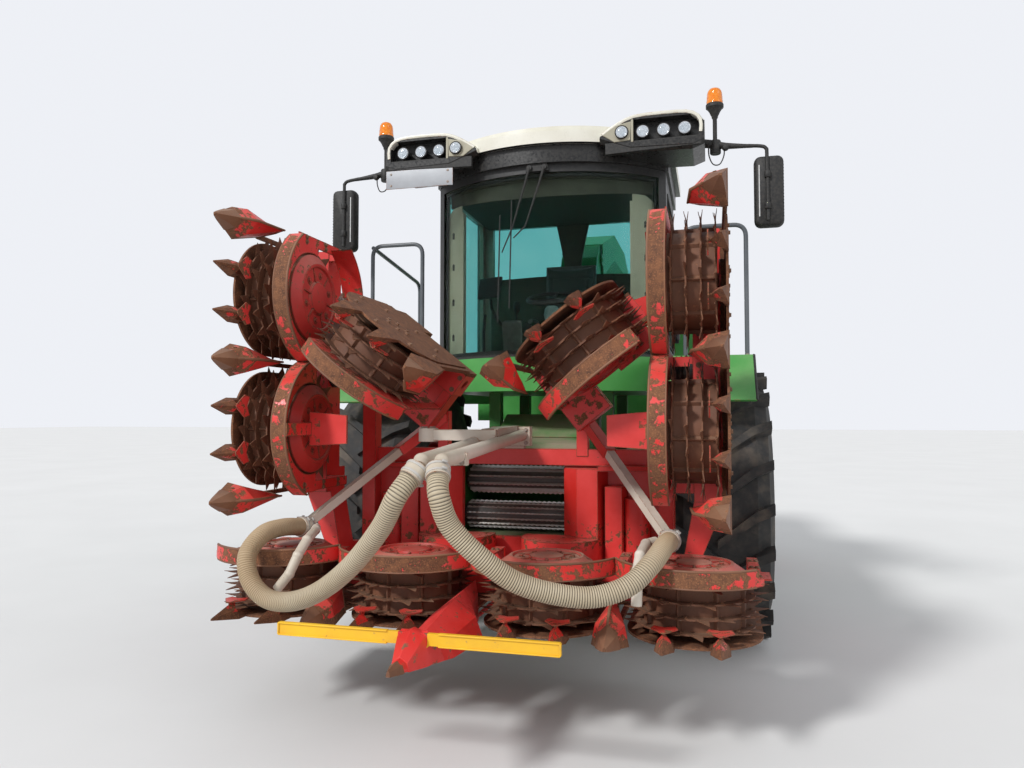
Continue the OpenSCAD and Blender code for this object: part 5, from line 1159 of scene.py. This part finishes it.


# Beacons: amber domes, stepped in at two rings, on tapered black bases, each on a short tube.
amber_lens = mottled("amber_lens", (60, 2, 0.3, 0.7), (0.86, 0.2, 0.008), (0.95, 0.33, 0.02), 0.1,
                     also={"Transmission Weight": 0.35})
work, domes = Steelwork(), Steelwork()
for s in (-1, 1):
    work.turned([(0.0, 0.0), (0.015, 0.0), (0.015, 0.15), (0.021, 0.16), (0.024, 0.176), (0.03, 0.184),
                 (0.036, 0.2), (0.05, 0.222), (0.0615, 0.232), (0.062, 0.252), (0.058, 0.258), (0.0, 0.258)],
                (s * 1.26, -0.87, 3.56), (0, 0, 1), steps=36)
    domes.turned([(0, 0.25), (0.0565, 0.252), (0.057, 0.278), (0.055, 0.28), (0.0545, 0.31), (0.053, 0.312),
                  (0.052, 0.332), (0.047, 0.35), (0.037, 0.365), (0.02, 0.373), (0, 0.375)],
                 (s * 1.26, -0.87, 3.56), (0, 0, 1), steps=36)
work.done("beacon_bases", "machine", seal_rubber, smooth=35, slot="black_plastic", replaces=["beacons"])
domes.done("beacon_domes", "machine", amber_lens, smooth=50, slot="amber_lens")


# Mirrors: tall black mirror heads with ribbed rims and a painted highlight, a pale stripe near their
# inner edge, on bent tubes that hang from cast arms at the roof's corners.
mirror_face = mottled("mirror_face", (4, 4, 0.3, 0.7), (0.7, 0.73, 0.75), (0.8, 0.82, 0.84), 0.05,
                      also={"Metallic": 1.0})
# The second colour is a painted highlight for the pale stripe on the mirror heads.
edge_highlight = mottled("painted_edge_highlight", (30, 4, 0.3, 0.7), (0.42, 0.43, 0.43), (0.58, 0.58, 0.56), 0.4)
x_in, x_out, z_low, z_high, mirror_round = 1.52, 1.72, 2.92, 3.42, 0.045


def mirror_outline(s, shrink):
    """The mirror head's outline with round corners, drawn in by shrink."""
    corners = ((x_out, z_high, 0), (x_in, z_high, 90), (x_in, z_low, 180), (x_out, z_low, 270))
    r = mirror_round
    return [(s * (cx + (r if cx == x_in else -r) + (r - shrink) * math.cos(a)),
             cz + (r if cz == z_low else -r) + (r - shrink) * math.sin(a))
            for cx, cz, start in corners for a in (math.radians(start + 22.5 * k) for k in range(5))]


for name, s in hands.items():
    work = Steelwork()
    for finish, levels in enumerate((((-0.893, 0.022), (-0.884, 0.009), (-0.862, 0.002), (-0.835, 0.0),
                                      (-0.812, 0.003), (-0.803, 0.006), (-0.803, 0.014), (-0.809, 0.016)),
                                     ((-0.8095, 0.017), (-0.8065, 0.018)))):
        work.skin([[(x, y, z) for x, z in mirror_outline(s, shrink)] for y, shrink in levels], finish)
    for k in range(17):
        z = z_low + 0.07 + k * 0.0225
        work.prism("z", [(s * x, y) for x, y in ((x_out - 0.004, -0.88), (x_out - 0.0015, -0.868),
                                                 (x_out - 0.0015, -0.842), (x_out - 0.004, -0.83))],
                   (z - 0.003, z + 0.003))
    # Painted highlight: a thin pale strip on the back of the head, where its rim curves away.
    work.prism("y",
               [(s * (x_in + x), z) for x, z in ((0.03, 2.99), (0.037, 2.99), (0.037, 3.35), (0.03, 3.35))],
               (-0.8955, -0.88), 2)
    arm = smooth_path(((1.175, -0.868, 3.545), (1.255, -0.87, 3.53), (1.33, -0.874, 3.512),
                       (1.45, -0.884, 3.497), (1.56, -0.894, 3.484), (1.6, -0.899, 3.462), (1.606, -0.9, 3.4),
                       (1.61, -0.9, 2.96)), 5)
    radii = [0.03 if p.x < 1.27 else 0.026 - 0.012 * min(1, (p.x - 1.27) / 0.2) if p.x < 1.5 else 0.0125
             for p in arm]
    work.tube([(s * p.x, p.y, p.z) for p in arm], radii, sides=16)
    work.turned([(0, -0.05), (0.034, -0.05), (0.038, -0.044), (0.038, 0.04), (0.034, 0.046), (0, 0.046)],
                (s * 1.262, -0.87, 3.51), (0, 0, 1), steps=24)
    work.turned([(0, -0.02), (0.016, -0.018), (0.024, -0.008), (0.024, 0.008), (0.016, 0.018), (0, 0.02)],
                (s * 1.33, -0.9, 3.492), (0, 1, 0), steps=20)
    for z in (3.06, 3.28):
        work.turned([(0.0125, -0.022), (0.02, -0.022), (0.022, -0.018), (0.022, 0.018), (0.02, 0.022),
                     (0.0125, 0.022)], (s * 1.609, -0.9, z), (0, 0, 1), steps=20)
    cable = smooth_path(((1.215, -0.885, 3.515), (1.218, -0.905, 3.44), (1.245, -0.915, 3.375),
                         (1.29, -0.915, 3.372), (1.318, -0.905, 3.43), (1.322, -0.9, 3.485)), 6)
    work.tube([(s * p.x, p.y, p.z) for p in cable], 0.0045, sides=8)
    work.done("mirror_" + name, "machine", seal_rubber, mirror_face, edge_highlight, smooth=40, slot="black_plastic",
              replaces=["mirrors"] if s == 1 else [])


# Wipers: two thin black arms that leave one spindle housing at the top centre and a long blade on
# each, parked across the screen; a blank silver plate hangs under the right-hand roof corner.
work = Steelwork()
work.skin([[(-0.085, y, z), (0.085, y, z), (0.075, y, z + 0.055), (-0.075, y, z + 0.055)]
           for y, z in ((-1.024, 3.395), (-1.0, 3.392))])
for s, tip, z_tip in ((-1, -0.3, 2.6), (1, -0.205, 2.7)):
    top_x = s * 0.055
    foot = on_screen(tip)
    work.turned([(0, -0.012), (0.017, -0.012), (0.019, -0.008), (0.019, 0.012), (0, 0.012)],
                (top_x, -1.028, 3.42), (0, 1, 0), steps=20)
    middle = top_x + (tip - top_x) * 0.55
    work.tube([(top_x, -1.034, 3.42), (top_x + (tip - top_x) * 0.12, -1.032, 3.32),
               (middle, on_screen(middle) - 0.028, 3.0),
               (tip + 0.02, foot - 0.02, z_tip + 0.22)], [0.01, 0.009, 0.006, 0.005], sides=8)
    x0 = tip - 0.015
    blade = [(x0 + 0.02 * k / 6, on_screen(x0 + 0.02 * k / 6), z_tip - 0.3 + 0.8 * k / 6) for k in range(7)]
    work.tube([(x, y - 0.016, z) for x, y, z in blade], 0.0055, sides=8)
    work.skin([[(x - 0.0025, y - 0.013, z), (x + 0.0025, y - 0.013, z), (x + 0.001, y - 0.0035, z),
                (x - 0.001, y - 0.0035, z)] for x, y, z in blade])
work.done("wiper_arms", "machine", seal_rubber, smooth=40, slot="black_plastic", replaces=["wipers"])
plate_metal = painted("plate_metal", (0.4, 0.42, 0.44), (0.3, 0.31, 0.33), wear=0.15, rough=0.4, dust=0.3)
work = Steelwork()
work.skin([[(-1.19, y, 3.345 + g), (-0.65, y, 3.345 + g), (-0.65, y, 3.487 - g), (-1.19, y, 3.487 - g)]
           for y, g in ((-1.018, 0.0), (-1.0215, 0.0), (-1.0225, 0.003))])
for x in (-1.1, -0.74):
    work.prism("x", ((-1.018, 3.42), (-1.012, 3.42), (-1.006, 3.53), (-1.014, 3.53)), (x - 0.015, x + 0.015))
work.done("blank_plate", "machine", plate_metal, bevel=0.001, slot="bright_steel")
spots = [((x, -1.0225, z), (0, -1, 0)) for x in (-1.15, -0.69) for z in (3.372, 3.46)]
bolt_piece("plate_screws", "machine", spots, bolt_steel, 0.012, 0.005, "bright_steel")


# Platform: grey tube rails round the decks and a folding ladder with open treads behind the left
# wheel, the tubes bent and welded to feet that are bolted down.
rail_grey = painted("rail_grey", (0.075, 0.085, 0.095), (0.12, 0.13, 0.14), wear=0.15, rough=0.35, dust=0.2,
                    edge=0.004)
deck_height, rail_front_y, rail_height = 2.026, -0.65, 3.0
rail_radius, rail_bend = 0.0165, 0.09
rail_flange = [(rail_radius, 0.001), (0.042, 0.001), (0.044, 0.003), (0.044, 0.009), (0.042, 0.011),
               (0.022, 0.014), (rail_radius, 0.02)]
work = Steelwork()


def bent_rail(corners):
    """A tube along corners, each rounded by its bending tool."""
    corners = [Vector(c) for c in corners]
    path = [corners[0]]
    for before, corner, after in zip(corners, corners[1:], corners[2:]):
        a, b = (corner + (end - corner).normalized() * rail_bend for end in (before, after))
        path += [a.lerp(corner, t).lerp(corner.lerp(b, t), t) for t in (k / 8 for k in range(9))]
    path.append(corners[-1])
    work.tube(path, rail_radius, sides=16)


for s in (-1, 1):
    bent_rail([(s * 1.035, rail_front_y, deck_height), (s * 1.035, rail_front_y, rail_height),
               (s * 1.47, rail_front_y, rail_height), (s * 1.47, rail_front_y, deck_height)])
    for x in (1.035, 1.47):
        work.turned(rail_flange, (s * x, rail_front_y, deck_height), (0, 0, 1), steps=24)
bent_rail([(-1.47, rail_front_y + 0.004, rail_height - 0.01), (-1.47, 0.395, rail_height - 0.14),
           (-1.47, 0.395, deck_height)])
work.turned(rail_flange, (-1.47, 0.395, deck_height), (0, 0, 1), steps=24)
for s in (-1, 1):
    work.prism("x", ((0.572, 1.998), (0.786, 1.998), (0.786, 2.024), (0.572, 2.024)), (s * 1.15, s * 1.478))
    for x in (1.152, 1.46):
        work.prism("z",
                   [(s * a, b) for a, b in ((x, 0.618), (x + 0.018, 0.618), (x + 0.018, 0.785), (x, 0.785))],
                   (0.482, 2.014))
work.done("rails_and_ladders", "machine", rail_grey, smooth=50, bevel=0.0015, slot="dark_steel",
          replaces=["platform"])


# Ladder treads: folded steel steps whose tops are punched with rows of raised teeth against
# slipping; the same tread repeats every 290 mm.
tread = Steelwork()
tread.prism("x", ((0.62, 0.0), (0.783, 0.0), (0.783, 0.03), (0.779, 0.03), (0.779, 0.004), (0.624, 0.004),
                  (0.624, 0.03), (0.62, 0.03)), (1.17, 1.46))
for i in range(9):
    for j in range(4):
        x, y = 1.19 + 0.031 * i, 0.638 + 0.038 * j
        tread.turned([(0.01, 0.003), (0.008, 0.01), (0.005, 0.013), (0.0, 0.011)], (x, y, 0), (0, 0, 1),
                     steps=8)
tread.box((1.172, 0.626, 0.016), (1.458, 0.777, 0.0185))
work = Steelwork()
for k in range(5):
    for s in (1, -1):
        step = Steelwork(Matrix.Diagonal((s, 1, 1, 1)) @ Matrix.Translation((0, 0, 0.54 + 0.29 * k)))
        step.join(tread)
        work.join(step)
work.done("ladder_treads", "machine", rail_grey, smooth=30, slot="dark_steel")


# Fenders and chassis: pressed green wheel covers with bolted rims, and a dusty welded frame of
# green and near-black steel below them.
chassis_green = painted("chassis_green", (0.04, 0.2, 0.042), (0.065, 0.24, 0.062), wear=0.15, rough=0.4,
                        dust=0.6)
dark_steel = painted("dark_steel", (0.03, 0.03, 0.031), (0.055, 0.052, 0.048), wear=0.3, rough=0.5, dust=0.55)
casting = painted("casting_grey", (0.045, 0.046, 0.046), (0.085, 0.08, 0.072), wear=0.35, rough=0.6, dust=0.6)
coat(green_paint, "fenders", "hood", "spout_turret", "spout_boom", "side_panel_left", "side_panel_right")
coat(chassis_green, "chassis", "crop_duct", "feeder")
coat(dark_steel, "front_axle", "rear_axle", "rear_bumper")
coat(casting, "engine", "knuckle_left", "knuckle_right")
flap_rubber = mottled("flap_rubber", (26, 5, 0.4, 0.7), (0.018, 0.017, 0.016), (0.07, 0.058, 0.045), 0.7,
                      (26, 5, 0.0015, 0.4))
coat(flap_rubber, "spout_flap", "grilles")
work = Steelwork()
for s in (-1, 1):
    rim = [(-1.306, 1.706), (-0.963, 2.02), (0.566, 2.02), (0.566, 1.726)]
    for (y0, z0), (y1, z1) in zip(rim, rim[1:]):
        work.tube([(s * 1.5, y0, z0), (s * 1.5, y1, z1)], 0.01, sides=10)
work.done("fender_rims", "machine", seal_rubber, smooth=60, slot="black_plastic")
spots = [((s * x, y, deck_height), (0, 0, 1)) for s in (-1, 1) for x in (0.86, 1.46)
         for y in (-0.92, -0.45, 0.02, 0.5)]
spots += [((s * x, 3.635, z), (0, 1, 0)) for s in (-1, 1) for x in (0.14, 0.66) for z in (1.06, 1.17)]
spots += [((s * 0.47, -0.4 + dy, 0.965 + dz), (s, 0, 0)) for s in (-1, 1) for dy in (-0.12, 0.12)
          for dz in (-0.1, 0.1)]
bolt_piece("frame_bolts", "machine", spots, bolt_steel, 0.022, 0.01, "dark_steel")


# Deck plates: chequered aluminium sheets screwed to the fender tops beside the cab, whose raised
# bars lie crosswise in turns.
bar_tread, bar_pitch, bar_length = 0.0022, 0.034, 0.024
plate_steel = painted("deck_plate", (0.28, 0.28, 0.27), (0.2, 0.19, 0.17), wear=0.25, rough=0.42, dust=0.5,
                      edge=0.002, metal=0.6)
work = Steelwork()
for s in (-1, 1):
    x0, x1, y0, y1 = 0.955, 1.44, -0.6, 0.54
    work.box((s * x0, y0, deck_height + 0.0005), (s * x1, y1, deck_height + 0.003))
    for i in range(int((x1 - x0) / bar_pitch)):
        for j in range(int((y1 - y0) / bar_pitch)):
            cx, cy = s * (x0 + bar_pitch * (i + 0.5)), y0 + bar_pitch * (j + 0.5)
            a = math.radians(45 if (i + j) % 2 else 135)
            dx, dy = bar_length / 2 * math.cos(a), bar_length / 2 * math.sin(a)
            nx, ny = -0.004 * math.sin(a), 0.004 * math.cos(a)
            base = deck_height + 0.0028
            work.add([(cx - dx, cy - dy, base), (cx + nx, cy + ny, base), (cx + dx, cy + dy, base),
                      (cx - nx, cy - ny, base), (cx, cy, base + bar_tread)],
                     [(3, 2, 1, 0), (0, 1, 4), (1, 2, 4), (2, 3, 4), (3, 0, 4)])
work.done("deck_plates", "machine", plate_steel, smooth=20, slot="dark_steel")


# Wheels: red pressed rims with a ring of nuts round a planetary hub, and big ribbed tyres that are
# grey with dried mud between their lugs.
wheel_red = painted("wheel_red", (0.5, 0.022, 0.018), (0.6, 0.04, 0.032), wear=0.15, rough=0.35, dust=0.35)
rubber, tree, shader = nodes_of("tyre_rubber")
scuffed = pattern(tree, 16, 6)
mud = between(pattern(tree, 5, 6), 0.5, 0.72)
black_rubber = blend_of(between(scuffed, 0.4, 0.75), (0.016, 0.016, 0.016), (0.055, 0.05, 0.044))
feed(shader, {"Base Color": blend_of(mud * 0.7, black_rubber, (0.15, 0.118, 0.085)),
              "Roughness": between(scuffed, 0.3, 0.75, 0.68, 0.92)})
raise_by(shader, pattern(tree, 70, 4), 0.002, 0.45)
wheels = {"front": (1.265, -0.4, 0.965), "rear": (1.17, 2.4, 0.73)}
nuts = {"front": (0.235, 0.072, 12, 0.036), "rear": (0.12, 0.1005, 10, 0.03)}
hub_caps = {"front": [(0, 0.121), (0.1, 0.121), (0.1, 0.13), (0.092, 0.136), (0.09, 0.154), (0.082, 0.161),
                      (0.046, 0.164), (0.042, 0.172), (0.03, 0.174), (0, 0.1745)],
            "rear": [(0, 0.101), (0.08, 0.101), (0.082, 0.104), (0.08, 0.122), (0.07, 0.132), (0.04, 0.137),
                     (0, 0.138)]}
for end, (x, y, z) in wheels.items():
    nut_r, face, count, head = nuts[end]
    for side, s in hands.items():
        coat(rubber, end + "_tyre_" + side)
        coat(wheel_red, end + "_rim_" + side)
        name = end + "_wheel_" + side
        work = Steelwork()
        work.take(bolts([((s * (x + face), y + a, z + b), (s, 0, 0)) for a, b in circle(count, nut_r)], head,
                        0.024))
        if end == "front":
            spots = [((s * (x + 0.121), y + a, z + b), (s, 0, 0)) for a, b in circle(16, 0.118, math.pi / 16)]
            work.take(bolts(spots, 0.018, 0.01))
        work.done("wheel_nuts_" + name, name, bolt_steel, smooth=30, slot="dark_steel")
        work = Steelwork()
        work.turned(hub_caps[end], (s * x, y, z), (s, 0, 0), steps=40)
        work.done("hub_cap_" + name, name, wheel_red, smooth=35, slot="red_paint")


# Rear body: quarter-turn latches and pressed louvres on the side panels, a mesh of thin wires behind
# the rear grille, and round red reflectors.
latch_steel = painted("latch_steel", (0.3, 0.3, 0.29), (0.38, 0.38, 0.36), wear=0.2, rough=0.35, dust=0.2,
                      edge=0.002)
for s, body in ((1, "panel_left"), (-1, "panel_right")):
    work = Steelwork()
    for y in (1.5, 1.94, 2.38):
        work.turned([(0, 0), (0.027, 0), (0.029, 0.002), (0.029, 0.005), (0.026, 0.007), (0.014, 0.008),
                     (0.013, 0.011), (0, 0.011)], (s * 1.13, y, 1.85), (s, 0, 0), steps=28)
        work.box((s * 1.139, y - 0.018, 1.8465), (s * 1.146, y + 0.018, 1.8535))
    work.done("panel_latches_" + body, body, latch_steel, bevel=0.0008, slot="bright_steel")
    work = Steelwork()
    for k in range(6):
        z = 1.91 + 0.06 * k
        work.prism("y", [(s * x, z + rise) for x, rise in ((1.126, 0.03), (1.1285, 0.034), (1.138, 0.012),
                                                           (1.1335, 0.008))], (1.462, 2.418))
    work.done("louvres_" + body, body, green_paint, bevel=0.001, slot="green_paint")
work = Steelwork()
for k in range(40):
    x = -0.74 + 1.48 * k / 39
    work.tube([(x, 3.4535, 1.75), (x, 3.4535, 2.315)], 0.0018, sides=5)
work.done("grille_wires", "machine", latch_steel, smooth=60, slot="dark_steel")
work = Steelwork()
for s in (-1, 1):
    for z in (1.64, 2.44):
        work.turned([(0, 0), (0.034, 0), (0.036, 0.002), (0.036, 0.008), (0.032, 0.01), (0, 0.011)],
                    (s * 0.98, 3.48, z), (0, 1, 0), steps=28)
work.done("reflectors", "machine", red_lens, smooth=40, slot="lamp_lens")
spots = [((s * 1.13, y, z), (s, 0, 0)) for s in (-1, 1) for y in (1.24, 2.64, 3.05, 3.42)
         for z in (1.62, 2.3)]
spots += [((x, 3.48, z), (0, 1, 0)) for x in (-0.86, -0.43, 0.0, 0.43, 0.86) for z in (1.655, 2.41)]
bolt_piece("hood_screws", "machine", spots, bolt_steel, 0.016, 0.006, "bright_steel")


# Door furniture: a black recessed pull handle and a lock beside the glass, and a rubber seal pressed
# on round the frame.
work = Steelwork()
work.prism("x", ((-0.455, 2.27), (-0.405, 2.27), (-0.405, 2.46), (-0.455, 2.46)), (0.899, 0.905))
work.tube([(0.902, -0.43, 2.29), (0.925, -0.43, 2.3), (0.93, -0.43, 2.32), (0.93, -0.43, 2.41),
           (0.925, -0.43, 2.43), (0.902, -0.43, 2.44)], 0.0075, sides=10)
work.turned([(0, 0), (0.011, 0), (0.012, 0.003), (0.01, 0.006), (0, 0.006)], (0.905, -0.43, 2.255), (1, 0, 0),
            steps=18)
ring = [(-0.445, 2.152), (0.325, 2.152), (0.325, 3.318), (-0.445, 3.318)]
for (y0, z0), (y1, z1) in zip(ring, ring[1:] + ring[:1]):
    work.tube([(0.9005, y0, z0), (0.9005, y1, z1)], 0.007, sides=8)
work.done("door_furniture", "door", seal_rubber, bevel=0.001, slot="black_plastic")


# Spout furniture: hydraulic pipes clipped along the boom.
work = Steelwork()
for x in (-0.208, -0.226):
    work.tube(smooth_path(((x, 1.12, 3.23), (x, 1.6, 3.38), (x, 2.0, 3.46), (x, 2.6, 3.47), (x, 3.0, 3.46),
                           (x, 3.3, 3.36)), 6), 0.0075, sides=10)
for y, z in ((1.62, 3.385), (2.05, 3.463), (2.62, 3.47), (2.98, 3.46)):
    work.box((-0.236, y - 0.014, z - 0.014), (-0.189, y + 0.014, z + 0.014))
work.done("spout_pipes", "boom", casting, bevel=0.001, slot="dark_steel")
